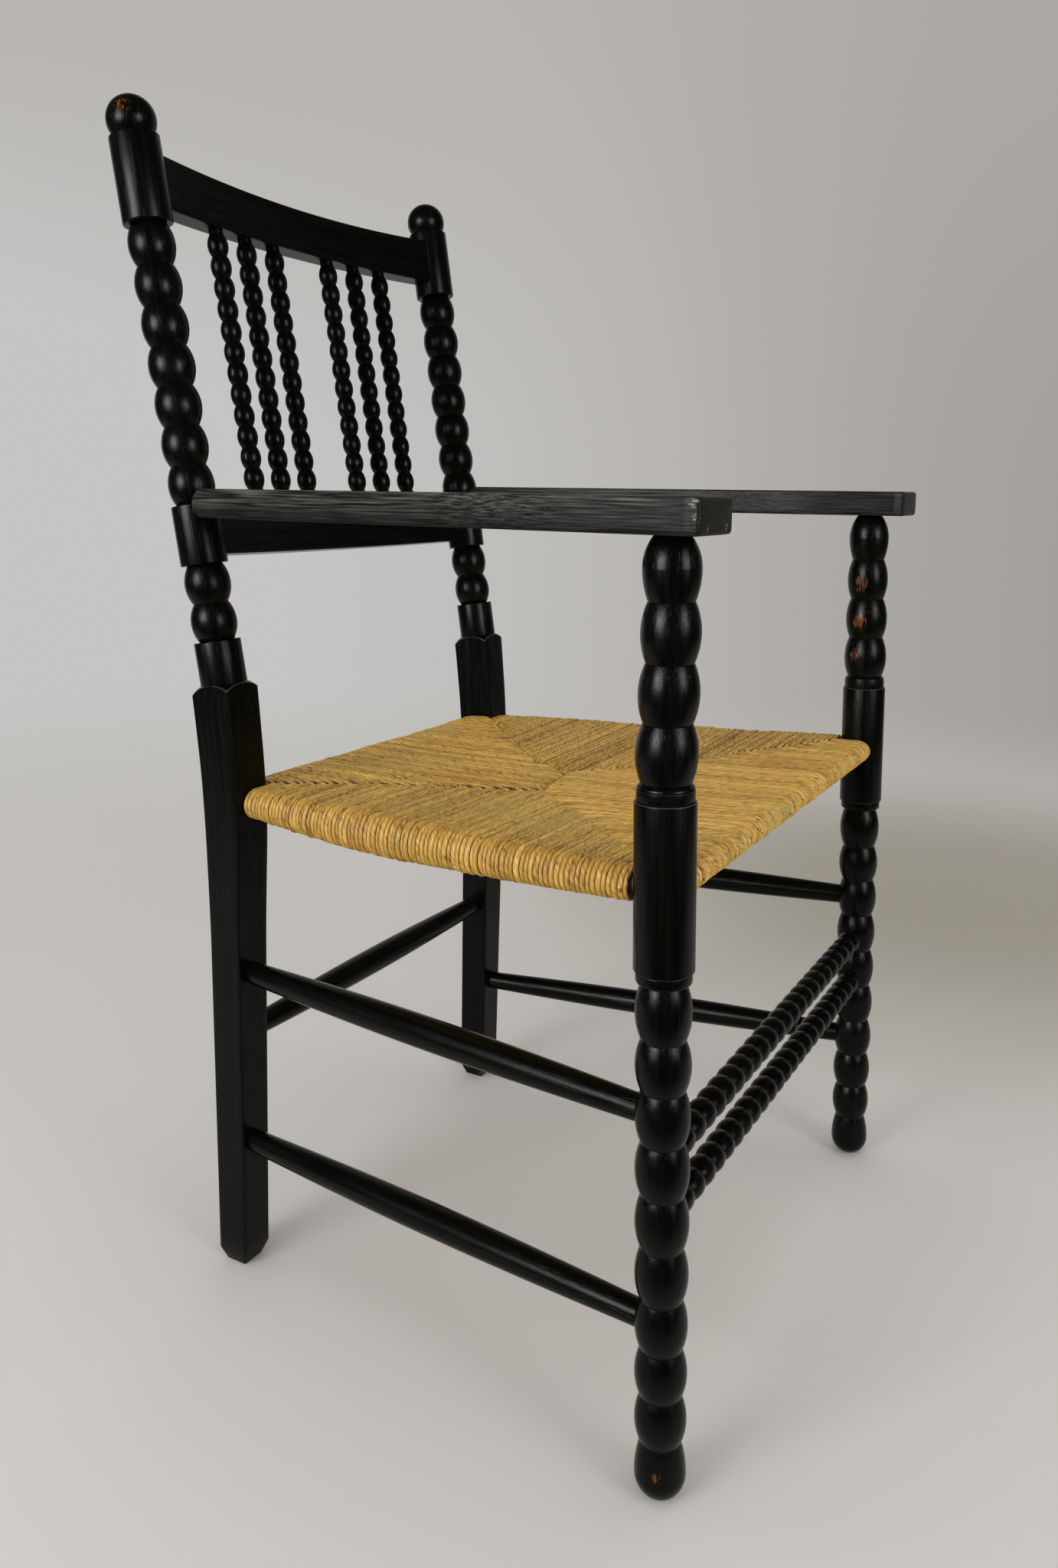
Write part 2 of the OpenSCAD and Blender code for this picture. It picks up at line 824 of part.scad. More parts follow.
module back_stretcher_bore() {
    a = square_leg(-1, back_stretcher_height);
    b = square_leg(1, back_stretcher_height);
    inside = leg_width(back_stretcher_height) / 2 - tenon_depth - fit_gap;
    rod_space(a, b, inside, norm(b - a) - inside, stretcher_end_radius + fit_gap);
}

module back_stretcher() {
    half = leg_width(back_stretcher_height) / 2;
    color(part_wood) placed()
        stretcher(square_leg(-1, back_stretcher_height), square_leg(1, back_stretcher_height),
            half, half);
}

// Beaded stretchers
function front_stretcher_right(z) = front_leg(-1, z);

function front_stretcher_left(z) = front_leg(1, z - front_stretcher_drop);

module front_stretcher_bore(z) {
    a = front_stretcher_right(z);
    b = front_stretcher_left(z);
    inside = low_bead_radius - tenon_depth - fit_gap;
    rod_space(a, b, inside, norm(b - a) - inside, stretcher_tenon_radius + fit_gap);
}

module beaded_stretcher(z) {
    a = front_stretcher_right(z);
    b = front_stretcher_left(z);
    long = norm(b - a);
    from = high_bead_radius + 2 * fit_gap;
    pitch = (long - 2 * from) / stretcher_beads;
    color(part_wood) placed() between(a, b) rotate_extrude() {
        core(low_bead_radius, long - low_bead_radius, stretcher_tenon_radius / 2);
        plain(low_bead_radius - tenon_depth, from, stretcher_tenon_radius);
        for (k = [0 : stretcher_beads - 1])
            bead(from + k * pitch, from + (k + 1) * pitch,
                stretcher_bead_radius, stretcher_neck_radius);
        plain(long - from, long - low_bead_radius + tenon_depth, stretcher_tenon_radius);
    }
}

module upper_front_stretcher() {
    beaded_stretcher(upper_front_height);
}

module lower_front_stretcher() {
    beaded_stretcher(lower_front_height);
}

// Seat rails
module front_seat_rail_rod(gap) {
    a = seat_rail_front(-1);
    b = seat_rail_front(1);
    inside = plain_radius - seat_tenon_depth - gap;
    rod_space(a, b, inside, norm(b - a) - inside, seat_rail_radius + gap);
}

module back_seat_rail_rod(gap) {
    a = square_leg(-1, seat_back_height);
    b = square_leg(1, seat_back_height);
    inside = leg_width(seat_back_height) / 2 - seat_tenon_depth - gap;
    rod_space(a, b, inside, norm(b - a) - inside, seat_rail_radius + gap);
}

module side_seat_rail_rod(side, gap) {
    a = seat_rail_front(side);
    b = seat_rail_back(side);
    rod_space(a, b, plain_radius - seat_tenon_depth - gap,
        norm(b - a) - leg_depth(seat_back_height) / 2 + side_rail_tenon_depth + gap,
        seat_rail_radius + gap);
}

module front_seat_rail() {
    color(part_wood) placed() front_seat_rail_rod(0);
}

module back_seat_rail() {
    color(part_wood) placed() back_seat_rail_rod(0);
}

module right_seat_rail() {
    color(part_wood) placed() side_seat_rail_rod(-1, 0);
}

module left_seat_rail() {
    color(part_wood) placed() side_seat_rail_rod(1, 0);
}

// Rush seat: a closed pillow with a rounded roll along each edge
seat_front_y = seat_rail_front(1)[1] - roll_reach;
seat_back_y = square_leg(1, seat_back_height)[1] + roll_reach;
seat_mid_y = (seat_front_y + seat_back_y) / 2;
seat_half_y = (seat_back_y - seat_front_y) / 2;

function seat_half_x(y) =
    let (a = seat_rail_front(1))
    let (b = seat_rail_back(1))
    a[0] + (b[0] - a[0]) * (y - a[1]) / (b[1] - a[1]) + roll_reach;

function roll(d) = d >= roll_reach ? 1 : sqrt(1 - pow(1 - d / roll_reach, 2));

function rail_z(v) = seat_front_height + (seat_back_height - seat_front_height) * v;

function seat_upper(a, v) =
    rail_z(v) + seat_thickness / 2 - seat_dish * (1 - a * a) * (1 - pow(2 * v - 1, 2));

function seat_under(a, v) =
    rail_z(v) - seat_thickness / 2 - seat_belly * sin(180 * pow(v, belly_shift));

// The grid is closest near the edges, where the roll is round
function seat_point(i, j, upper) =
    let (a = -cos(180 * i / seat_steps))
    let (b = -cos(180 * j / seat_steps))
    let (v = (b + 1) / 2)
    let (y = seat_mid_y + b * seat_half_y)
    let (x = a * seat_half_x(y))
    let (full = roll((1 - abs(a)) * seat_half_x(y)) * roll((1 - abs(b)) * seat_half_y))
    let (face = upper ? seat_upper(a, v) : seat_under(a, v))
    let (edge = (seat_upper(a, v) + seat_under(a, v)) / 2)
    [x, y, edge + (face - edge) * full];

function upper_index(i, j) = i * (seat_steps + 1) + j;

function under_index(i, j) =
    i == 0 || j == 0 || i == seat_steps || j == seat_steps
    ? upper_index(i, j)
    : pow(seat_steps + 1, 2) + (i - 1) * (seat_steps - 1) + j - 1;

// Each cell is split by the diagonal that points at the middle of the seat
function cell(p00, p10, p11, p01, same) =
    same ? [[p00, p11, p10], [p00, p01, p11]] : [[p00, p01, p10], [p10, p01, p11]];

function turned(face) = [face[0], face[2], face[1]];

module rush_pillow() {
    n = seat_steps;
    upper = [for (i = [0 : n]) for (j = [0 : n]) seat_point(i, j, true)];
    under = [for (i = [1 : n - 1]) for (j = [1 : n - 1]) seat_point(i, j, false)];
    top_faces = [
        for (i = [0 : n - 1]) for (j = [0 : n - 1])
        for (f = cell(upper_index(i, j), upper_index(i + 1, j),
            upper_index(i + 1, j + 1), upper_index(i, j + 1),
            (i < n / 2) == (j < n / 2))) f
    ];
    low_faces = [
        for (i = [0 : n - 1]) for (j = [0 : n - 1])
        for (f = cell(under_index(i, j), under_index(i + 1, j),
            under_index(i + 1, j + 1), under_index(i, j + 1),
            (i < n / 2) == (j < n / 2))) turned(f)
    ];
    polyhedron(points = concat(upper, under), faces = concat(top_faces, low_faces));
}

module rush_seat() {
    color(part_rush) placed() difference() {
        rush_pillow();
        front_seat_rail_rod(fit_gap);
        back_seat_rail_rod(fit_gap);
        for (side = [-1, 1]) {
            side_seat_rail_rod(side, fit_gap);
            translate(front_leg(side, 0)) rotate([-leg_rake, 0, 0])
                translate([0, 0, plain_from])
                cylinder(r = leg_clearance, h = block_top(side) - plain_from);
            translate(front_leg(side, seat_front_height) + [side, -1, 0] * beyond / 2)
                cube(beyond, center = true);
            translate(square_leg(side, seat_back_height))
                cube([leg_width(shoulder_height) + 2 * rush_gap,
                    leg_depth(seat_back_height) + 2 * (rush_gap + knee_room), beyond],
                    center = true);
        }
    }
}

right_front_leg();
left_front_leg();
right_back_post();
left_back_post();
crest_rail();
lower_back_rail();
back_spindle_1();
back_spindle_2();
back_spindle_3();
back_spindle_4();
back_spindle_5();
back_spindle_6();
right_arm();
left_arm();
right_upper_side_stretcher();
right_lower_side_stretcher();
left_upper_side_stretcher();
left_lower_side_stretcher();
back_stretcher();
upper_front_stretcher();
lower_front_stretcher();
front_seat_rail();
back_seat_rail();
right_seat_rail();
left_seat_rail();
rush_seat();
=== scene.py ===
import bpy
import numpy as np
from math import cos, pi, radians, sin, tan
from mathutils import Matrix, Vector


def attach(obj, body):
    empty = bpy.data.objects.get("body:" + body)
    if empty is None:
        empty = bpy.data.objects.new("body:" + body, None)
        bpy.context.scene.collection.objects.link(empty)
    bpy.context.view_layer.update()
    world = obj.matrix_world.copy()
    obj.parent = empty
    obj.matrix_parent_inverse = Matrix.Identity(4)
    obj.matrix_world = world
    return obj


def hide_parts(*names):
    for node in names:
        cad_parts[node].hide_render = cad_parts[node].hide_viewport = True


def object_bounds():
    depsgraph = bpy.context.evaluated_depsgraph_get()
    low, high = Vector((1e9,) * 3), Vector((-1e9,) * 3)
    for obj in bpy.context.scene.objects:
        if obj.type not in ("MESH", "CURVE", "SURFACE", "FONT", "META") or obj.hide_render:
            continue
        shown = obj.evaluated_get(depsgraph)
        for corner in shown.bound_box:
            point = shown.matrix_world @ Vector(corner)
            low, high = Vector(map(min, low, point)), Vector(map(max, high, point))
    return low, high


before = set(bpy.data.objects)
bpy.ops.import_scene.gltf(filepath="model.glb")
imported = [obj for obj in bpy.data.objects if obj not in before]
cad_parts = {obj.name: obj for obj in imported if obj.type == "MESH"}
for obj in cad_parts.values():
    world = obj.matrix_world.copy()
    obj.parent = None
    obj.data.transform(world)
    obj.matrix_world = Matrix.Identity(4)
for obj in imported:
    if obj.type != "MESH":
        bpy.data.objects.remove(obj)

cadLow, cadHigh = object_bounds()   # the solids' box
armReach = 19.0   # mm from the front feet's axis to the arms' front ends
midDepth = -cadLow.y * 1000 - armReach   # mm from that axis to the frame's origin


def smooth(t):   # 0 below 0, 1 above 1, and 3 t^2 - 2 t^3 between
    t = np.clip(t, 0, 1)
    return t * t * (3 - 2 * t)


def toFrame(points):   # millimetres behind the front feet's axis, to the frame's metres
    return (np.asarray(points, float) - [0, midDepth, 0]) / 1000


class Wire:   # a node's output that ordinary arithmetic works on
    def __init__(self, graph, socket):
        self.graph, self.socket = graph, socket

    def run(self, operation, *others):
        return self.graph.add("Math", [self, *others], operation=operation)

    def __add__(self, other): return self.run("ADD", other)
    def __sub__(self, other): return self.run("SUBTRACT", other)
    def __mul__(self, other): return self.run("MULTIPLY", other)
    def __neg__(self): return self.run("MULTIPLY", -1)
    def __rsub__(self, other): return -self + other
    __radd__ = __add__
    __rmul__ = __mul__

    def soft(self, low, high):   # 0 below low, 1 above high, a smooth step between
        return self.graph.add("MapRange", {"Value": self, "From Min": low, "From Max": high},
                              interpolation_type="SMOOTHSTEP")


class Graph:
    def __init__(self, tree):
        self.tree = tree
        tree.nodes.clear()

    def add(self, kind, inputs=(), output=0, **settings):   # any shader node
        node = self.tree.nodes.new("ShaderNode" + kind)
        for key, value in settings.items():
            setattr(node, key, value)
        for key, value in inputs.items() if isinstance(inputs, dict) else enumerate(inputs):
            if isinstance(value, Wire):
                self.tree.links.new(value.socket, node.inputs[key])
            else:
                node.inputs[key].default_value = value
        return Wire(self, node.outputs[output]) if len(node.outputs) else node

    def mix(self, factor, low, high):   # blends two colours
        low, high = [c if isinstance(c, Wire) else (*c, 1) for c in (low, high)]
        return self.add("Mix", {0: factor, 6: low, 7: high}, 2, data_type="RGBA")

    def stretch(self, vector, scale):
        return self.add("Mapping", {"Vector": vector, "Scale": scale})

    def noise(self, vector, scale=1.0, detail=2.0, rough=0.5):
        return self.add("TexNoise", {"Vector": vector, "Scale": scale, "Detail": detail,
                                     "Roughness": rough})

    def attribute(self, name, output="Fac"):
        return self.add("Attribute", (), output, attribute_name=name)

    def place(self):   # the point itself, in metres
        return self.add("TexCoord", (), "Object")

    def split(self, vector, axis):
        return self.add("SeparateXYZ", [vector], axis)

    def join(self, x, y, z):
        return self.add("CombineXYZ", [x, y, z])

    def near(self, vector, point):   # distance from one point of the chair
        return self.add("VectorMath", [vector, point], "Value", operation="DISTANCE")

    def dot(self, vector, to):   # how far a vector goes along a direction
        return self.add("VectorMath", [vector, to], "Value", operation="DOT_PRODUCT")

    def bump(self, height, distance, strength, under=None):   # distance in metres
        inputs = {"Height": height, "Distance": distance, "Strength": strength}
        return self.add("Bump", {**inputs, "Normal": under} if under else inputs)

    def surface(self, inputs):
        shader = self.add("BsdfPrincipled", inputs)
        return self.add("OutputMaterial", {"Surface": shader})


def newMaterial(name):
    material = bpy.data.materials.new(name)
    material.use_nodes = True
    return material, Graph(material.node_tree)


def newObject(name, data):
    made = bpy.data.objects.new(name, data)
    bpy.context.scene.collection.objects.link(made)
    return made


# ebonised wood: black stain under a worn satin polish; painted sheen on arms, painted edge
# highlights

polish = {   # of both woods: sizes of noise, per metre, and where each effect starts and ends
    "pores": (900, 900, 28), "poresShow": (0.58, 0.70), "scratch": (800, 800, 150),
    "cloud": 22, "fine": 650, "edgeHighlightShows": (1.1, 1.7), "rubShows": (0.60, 0.78),
    "ragged": 3.4, "waviness": 0.0012,   # waviness in metres
}
turnedWood = {
    "black": (0.0011, 0.0015, 0.0008), "greyedAndSheen": (0.0028, 0.0034, 0.0022),
    "rubbed": (0.15, 0.050, 0.015),     # brown wood where the stain has gone
    "edgeHighlight": (0.050, 0.053, 0.046),       # painted highlight: the pale line along crisp edges
    "grain": (260, 9), "streak": (0.38, 0.70),
    "roughness": (0.16, 0.26), "specular": 0.10,
    "relief": 0.00020, "pores": 0.5, "sparkle": 0.5,   # relief in metres, and shares in it
    "marks": [   # bare wood: x, behind the front feet, height and size in mm, strength
        (234.5, 16.5, 598, 13, 0.9), (233, 17, 562, 14, 1.0), (233.6, 20, 528, 12, 0.85),
        (-224.5, 497.9, 977.3, 13, 0.75), (-270, -3, 24.9, 6, 0.8), (186, 412, 2, 17, 0.9),
    ],
}
armWood = {
    # the arms' greyed colour is painted sheen along the grain, standing in for most of their gloss
    "black": (0.0060, 0.0068, 0.0054), "greyedAndSheen": (0.112, 0.115, 0.104),
    # painted shade, where the black is kept instead of the painted sheen, in metres:
    # forwards, low on the sides and on the far arm
    "frontEnd": (-0.225, -0.2715), "sides": (0.6570, 0.6830), "far": (0.0, 0.15), "kept": 0.9,
    # rubbed is bare wood; the pale edge colour is a painted highlight along crisp edges
    "rubbed": (0.32, 0.25, 0.15), "edgeHighlight": (0.11, 0.11, 0.09),
    "grain": (1050, 20), "streak": (0.38, 0.72),
    "roughness": (0.26, 0.42), "specular": 0.035, "relief": 0.00030, "pores": 0.9, "sparkle": 0.3,
    "marks": [
        (-290, -15, 678, 6, 0.75), (-290, -16, 670, 6, 0.6), (-276.5, -19, 663, 5, 0.6),
        (-246, -19, 664, 5, 0.6), (235, 100, 676, 26, 0.45),
    ],
}


def ebonisedWood(name, wood):
    # the grain attribute runs along each piece, so noise squeezed across it makes streaks and pores
    material, g = newMaterial(name)
    grain = g.attribute("grain", "Vector")
    place = g.place()
    across, lengthways = wood["grain"]
    streak = g.noise(g.stretch(grain, (across, across, lengthways)), 1.0, 4.0, 0.6)
    pores = g.noise(g.stretch(grain, polish["pores"])).soft(*polish["poresShow"])
    cloud = g.noise(place, polish["cloud"], 3.0, 0.55)
    fine = g.noise(place, polish["fine"], 2.0, 0.6)
    scratch = g.noise(g.stretch(grain, polish["scratch"]), 1.0, 2.0, 0.6)
    wearAndPaintedLight = g.attribute("wearAndPaintedLight")
    # grey streaks along the grain: the turned wood's own grey stain, and on the arms a painted
    # sheen
    colour = g.mix(streak.soft(*wood["streak"]), wood["black"], wood["greyedAndSheen"])
    # painted shade: the arms stay black at their front ends, low on their sides and on the far arm
    if "frontEnd" in wood:
        low = 1 - g.split(place, 2).soft(*wood["sides"])
        kept = g.split(place, 1).soft(*wood["frontEnd"]).run("MAXIMUM", low)
        kept = kept.run("MAXIMUM", g.split(place, 0).soft(*wood["far"]) * 0.8)
        colour = g.mix(kept * wood["kept"], colour, wood["black"])
    # painted highlight: a pale line along crisp edges, where the wear value passes 1
    edgeHighlight = wearAndPaintedLight.soft(*polish["edgeHighlightShows"]) * (cloud * 0.8 + scratch * 0.8 - 0.1)
    colour = g.mix(edgeHighlight, colour, wood["edgeHighlight"])
    rub = (wearAndPaintedLight.run("MINIMUM", 1) * cloud).soft(*polish["rubShows"])   # only the most worn edges
    for x, behind, z, size, strength in wood["marks"]:
        away = g.near(place, tuple(toFrame((x, behind, z)))) * (1000 / size)
        rub = rub + away.soft(1.0, 0.0) * strength
    bare = (rub + (scratch - 0.5) * polish["ragged"]).soft(0.45, 1.05) * rub.soft(0.05, 0.6)
    colour = g.mix(bare, colour, wood["rubbed"])
    low, high = wood["roughness"]
    roughness = (streak * 0.6 + cloud * 0.4).soft(0.2, 0.8) * (high - low) + low
    height = streak * 0.5 - pores * wood["pores"] + fine * wood["sparkle"]
    normal = g.bump(height, wood["relief"], 0.6, g.bump(cloud, polish["waviness"], 0.3))
    g.surface({"Specular IOR Level": wood["specular"], "Base Color": colour,
               "Roughness": roughness, "Normal": normal})
    return material


railWood = {
    "colour": (0.030, 0.022, 0.014), "streak": (0.055, 0.040, 0.026), "grain": (120, 120, 120),
}


def hiddenRailWood():
    material, g = newMaterial("railWood")
    streak = g.noise(g.stretch(g.place(), railWood["grain"]), 1.0, 3.0, 0.6)
    g.surface({"Base Color": g.mix(streak.soft(0.35, 0.7), railWood["colour"], railWood["streak"]),
               "Roughness": streak * 0.2 + 0.55, "Specular IOR Level": 0.3})
    return material


# meshes: every shell is a grid of rings, closed round and capped at both ends

def shell(rings, local, wearAndPaintedLight=None, seed=0.0):
    # rings[i, j] is point j of ring i in mm; local[i, j] is the same point in the piece's own
    # axes, long side last, which the wood's grain follows; the wear value is 0 to 1 where the
    # polish is rubbed, and above 1 it paints a pale highlight line along a crisp edge; the rush's
    # shells carry their painted shade in the grooves in the same slot
    n, m = rings.shape[:2]
    points = np.concatenate([rings.reshape(-1, 3), rings[0].mean(0)[None], rings[-1].mean(0)[None]])
    grain = np.concatenate([local.reshape(-1, 3), local[0].mean(0)[None], local[-1].mean(0)[None]])
    rub = np.zeros((n, m)) if wearAndPaintedLight is None else np.broadcast_to(wearAndPaintedLight, (n, m))
    rub = np.concatenate([rub.ravel(), [rub[0].mean(), rub[-1].mean()]])
    i, j = np.meshgrid(np.arange(n - 1), np.arange(m), indexing="ij")
    k = (j + 1) % m
    quads = np.stack([i * m + j, i * m + k, (i + 1) * m + k, (i + 1) * m + j], -1).reshape(-1, 4)
    j, k = np.arange(m), (np.arange(m) + 1) % m
    first = np.stack([k, j, np.full(m, n * m)], -1)
    last = np.stack([(n - 1) * m + j, (n - 1) * m + k, np.full(m, n * m + 1)], -1)
    fans = np.concatenate([first, last])
    corners = np.concatenate([quads[:, [0, 1, 2]], quads[:, [0, 2, 3]], fans])
    a, b, c = points[corners].transpose(1, 0, 2)
    if np.einsum("ij,ij->", np.cross(a, b), c) < 0:   # six times the volume: turns a shell outwards
        quads, fans = quads[:, ::-1], fans[:, ::-1]
    return {"points": toFrame(points), "quads": quads, "fans": fans,
            "grain": grain / 1000 + seed, "wearAndPaintedLight": rub}


def makePiece(name, shells, material, nodes, sharp=32,
              keys=("grain", "wearAndPaintedLight")):
    start, faces = 0, []
    for one in shells:
        faces += (one["quads"] + start).tolist() + (one["fans"] + start).tolist()
        start += len(one["points"])
    mesh = bpy.data.meshes.new(name)
    mesh.from_pydata(np.concatenate([one["points"] for one in shells]), [], faces)
    for key, kind, field in ((keys[0], "FLOAT_VECTOR", "vector"), (keys[1], "FLOAT", "value")):
        values = np.concatenate([one[key] for one in shells])
        mesh.attributes.new(key, kind, "POINT").data.foreach_set(field, values.astype("f").ravel())
    mesh.shade_smooth()
    mesh.set_sharp_from_angle(angle=radians(sharp))
    mesh.materials.append(material)
    piece = newObject(name, mesh)
    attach(piece, "root")
    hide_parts(*nodes)
    return piece


def axisFrame(start, end):   # unit vectors along a line and across it, the second one level
    along = np.subtract(end, start) / np.linalg.norm(np.subtract(end, start))
    across = np.cross(along, [0, 0, 1]) if abs(along[2]) < 0.9 else np.cross(along, [0, 1, 0])
    across /= np.linalg.norm(across)
    return along, across, np.cross(along, across)


def lathe(start, end, profile, wearAndPaintedLight=None, seed=0.0, segments=64):
    # a half outline (s along the line, r from it) turned once round:
    # point = start + s * along + r * (cos * across + sin * other)
    along, across, other = axisFrame(start, end)
    turn = np.arange(segments) * 2 * pi / segments
    s, r = profile[:, 0, None], np.maximum(profile[:, 1, None], 0.05)
    x, y = r * np.cos(turn), r * np.sin(turn)
    rings = start + s[..., None] * along + x[..., None] * across + y[..., None] * other
    local = np.stack([x, y, np.broadcast_to(s, x.shape)], -1)
    return shell(rings, local, None if wearAndPaintedLight is None else wearAndPaintedLight[:, None], seed)


# outlines for turning, each a list of (s, r, worn) rows

def arcRadius(half, rise):   # of an arc this high over half its chord
    return (half ** 2 + rise ** 2) / (2 * rise)


def beads(low, high, count, belly, neck, steps=14, swell=0.0, rub=0.0):
    # each bead is one arc from neck to belly to neck: r = belly - arc + sqrt(arc^2 - u^2)
    ends = np.linspace(low, high, count + 1)
    ends -= swell * np.sin(np.arange(count + 1) * 2 * pi / count) if count > 1 else 0
    belly, neck = [np.broadcast_to(r, count)[:, None] for r in (belly, neck)]
    rise = belly - neck
    half = np.diff(ends)[:, None] / 2
    arc = arcRadius(half, rise)
    u = -half * np.cos(np.linspace(0, pi, steps + 1))   # rings crowd towards the necks
    rows = np.stack([ends[:-1, None] + half + u, belly - arc + np.sqrt(arc ** 2 - u ** 2),
                     rub * (1 - (u / half) ** 2)], -1)
    return rows.reshape(-1, 3)


def halfBead(widest, end, belly, neck):   # the same arc, from a bead's widest place to one end
    half, rise = abs(end - widest), belly - neck
    arc = arcRadius(half, rise)
    u = half * np.sin(np.linspace(0, pi / 2, 10))
    return np.stack([widest + np.sign(end - widest) * u,
                     belly - arc + np.sqrt(arc ** 2 - u ** 2), 0 * u], -1)


def plain(low, high, radius, edge=0.6, rub=0.5):
    # a straight length whose two edges are quarter circles of radius edge
    turn = np.linspace(0, pi / 2, 5)
    s = np.concatenate([low + edge * (1 - np.sin(turn[::-1])), high - edge * (1 - np.sin(turn))])
    r = radius - edge * (1 - np.cos(np.concatenate([turn[::-1], turn])))
    # wear along both edges; a rub above 1 paints a pale highlight line there
    wearAndPaintedLight = np.concatenate([np.sin(2 * turn), np.sin(2 * turn)]) * rub
    return np.stack([s, r, wearAndPaintedLight], -1)


def rounded(narrow, wide, small, large):
    # a quarter of an oval, from the radius small at narrow out to the radius large at wide
    turn = np.linspace(0, pi / 2, 6)
    return np.stack([narrow + (wide - narrow) * (1 - np.cos(turn)),
                     small + (large - small) * np.sin(turn), 0 * turn], -1)


def outline(*parts):
    rows = np.concatenate([np.asarray(p, float).reshape(-1, 3) for p in parts])
    return rows[:, :2], rows[:, 2]


# front legs

frontLeg = {   # -1 is the sitter's right, 1 the left
    "spread": 505.0, "rake": 1.4, "floorToArm": {-1: 659.0, 1: 663.5},
    "foot": 41.0, "ballAt": 16.8, "ballFrom": -1.22,   # the foot's ball starts at this angle
    "collar": 367.3, "lastEnd": 371.3, "lowBead": 17.9, "highBead": 18.9, "beads": 9,
    "neckDepth": 3.9, "swell": 2.7, "notch": (15.6, 16.2),   # radii between beads and bands
    "band": 18.6, "groove": 17.8, "plainFrom": 380.0, "plainTo": {-1: 492.4, 1: 495.2},
    "plainRadius": 20.15, "upperBand": 18.85, "ringHigh": 10.9, "pitch": 38.1,
    "upperBeads": (20.0, 19.5, 19.0), "lastBead": 18.5, "endRadius": 11.0,
    "bent": {-1: 3.3, 1: 0.0}, "bendFrom": 0.470, "bendOver": 0.170,   # mm, and metres of height
}


def frontLegLine(side, z):
    return np.array([side * frontLeg["spread"] / 2, z * tan(radians(frontLeg["rake"])), z])


def makeFrontLeg(side, name, node, material):
    # one outline from the foot's ball to the arm, turned round the raked line
    p = frontLeg
    low, depth, middle = p["lowBead"], p["neckDepth"], p["ballAt"]
    turn = np.linspace(p["ballFrom"], 0, 12)   # the foot's ball, cut flat where it stands
    ball = np.stack([middle + low * np.sin(turn), low * np.cos(turn), 0 * turn], -1)
    share = (p["beads"] - 1) / p["beads"]
    lastFrom = p["foot"] + (p["collar"] - p["foot"]) * share - p["swell"] * sin(2 * pi * share)
    belly = low + (p["highBead"] - low) * (np.arange(p["beads"]) + 0.5) / p["beads"]
    plainFrom, plainTo, groove = p["plainFrom"], p["plainTo"][side], p["groove"]
    band, upperBand, notch = p["band"], p["upperBand"], p["notch"]
    ringTop, pitch = plainTo + p["ringHigh"], p["pitch"]
    top = p["floorToArm"][side] / cos(radians(p["rake"]))
    upper = [beads(ringTop + k * pitch, ringTop + (k + 1) * pitch, 1, b, b - depth, rub=0.25)
             for k, b in enumerate(p["upperBeads"])]
    last = (ringTop + 3 * pitch + top) / 2
    lower = beads(p["foot"], p["collar"], p["beads"], belly, belly - depth, 16, p["swell"], 0.45)
    stretch = (p["lastEnd"] - lastFrom) / (p["collar"] - lastFrom)   # the last bead is longer
    along = lower[:, 0]
    lower[:, 0] = np.where(along > lastFrom, lastFrom + (along - lastFrom) * stretch, along)
    profile, wearAndPaintedLight = outline(
        ball, halfBead(middle, p["foot"], low, low - depth), lower,
        rounded(p["lastEnd"] + 0.3, p["lastEnd"] + 2.6, notch[0], band),
        rounded(plainFrom - 0.3, plainFrom - 0.9, groove, band)[::-1],
        # the block's and upper band's edges are rubbed past 1, which paints highlight lines on them
        plain(plainFrom, plainTo, p["plainRadius"], 1.0, 2.0), [(plainTo + 0.1, groove, 0)],
        plain(plainTo + 0.4, plainTo + 7.7, upperBand, 0.5, 1.7), [(plainTo + 7.9, groove, 0)],
        rounded(ringTop - 0.1, plainTo + 8.3, notch[1], upperBand - 0.4)[::-1], *upper,
        halfBead(last, ringTop + 3 * pitch, p["lastBead"], p["lastBead"] - depth)[::-1],
        halfBead(last, top, p["lastBead"], p["endRadius"]))
    body = lathe(frontLegLine(side, 0), frontLegLine(side, top), profile, wearAndPaintedLight, 3.1 + side)
    up = smooth((body["points"][:, 2] - p["bendFrom"]) / p["bendOver"])
    body["points"][:, 1] -= p["bent"][side] / 1000 * up   # the top leans forwards
    body["points"][:, 2] = np.maximum(body["points"][:, 2], 0)   # the foot stands flat
    return makePiece(name, [body], material, [node])


# back posts: square below the seat, turned above it

backPost = {
    "spread": 401.2, "back": 429.8, "rake": 9.39, "splay": 0.894, "shoulder": 513.0,
    "footBack": 427.6, "kick": 0.0132, "lean": 0.1, "knee": (380.0, 470.0),
    "depthLow": 30.0, "depthGrowth": 0.0075, "kneeSwell": 5.3, "swellFrom": 290, "swellOver": 140,
    "widths": (31.0, 37.3), "chamfer": (4.5, 12.0), "arris": 1.3,
    "dome": (7.0, -13.6, 26.0), "domeTo": 14, "slopeFrom": 440,   # mm
    "collar": 19.1, "collarFrom": 8.6, "collarTop": 557.7, "armBlock": (620.3, 668.5, 19.2),
    "bead": 18.75, "neck": 14.1, "topBlock": (890.2, 958.0, 20.0), "ball": 19.8, "top": 990.0,
}
growUp = 1 / (cos(radians(backPost["rake"])) * cos(radians(backPost["splay"])))


def postLine(side, z):
    p, rise = backPost, z - backPost["shoulder"]
    return np.array([side * (p["spread"] / 2 + rise * tan(radians(p["splay"]))),
                     p["back"] + rise * tan(radians(p["rake"])) / cos(radians(p["splay"])), z])


def squareLegLine(z):   # the leg's middle, front to back: straight, then curving back at the knee
    p = backPost
    low, high = p["knee"]
    curved = (z - low) ** 2 / (2 * (high - low))
    bent = np.where(z < low, 0, np.where(z < high, curved, z - (low + high) / 2))
    return p["footBack"] - p["kick"] * z + (p["lean"] + p["kick"]) * bent


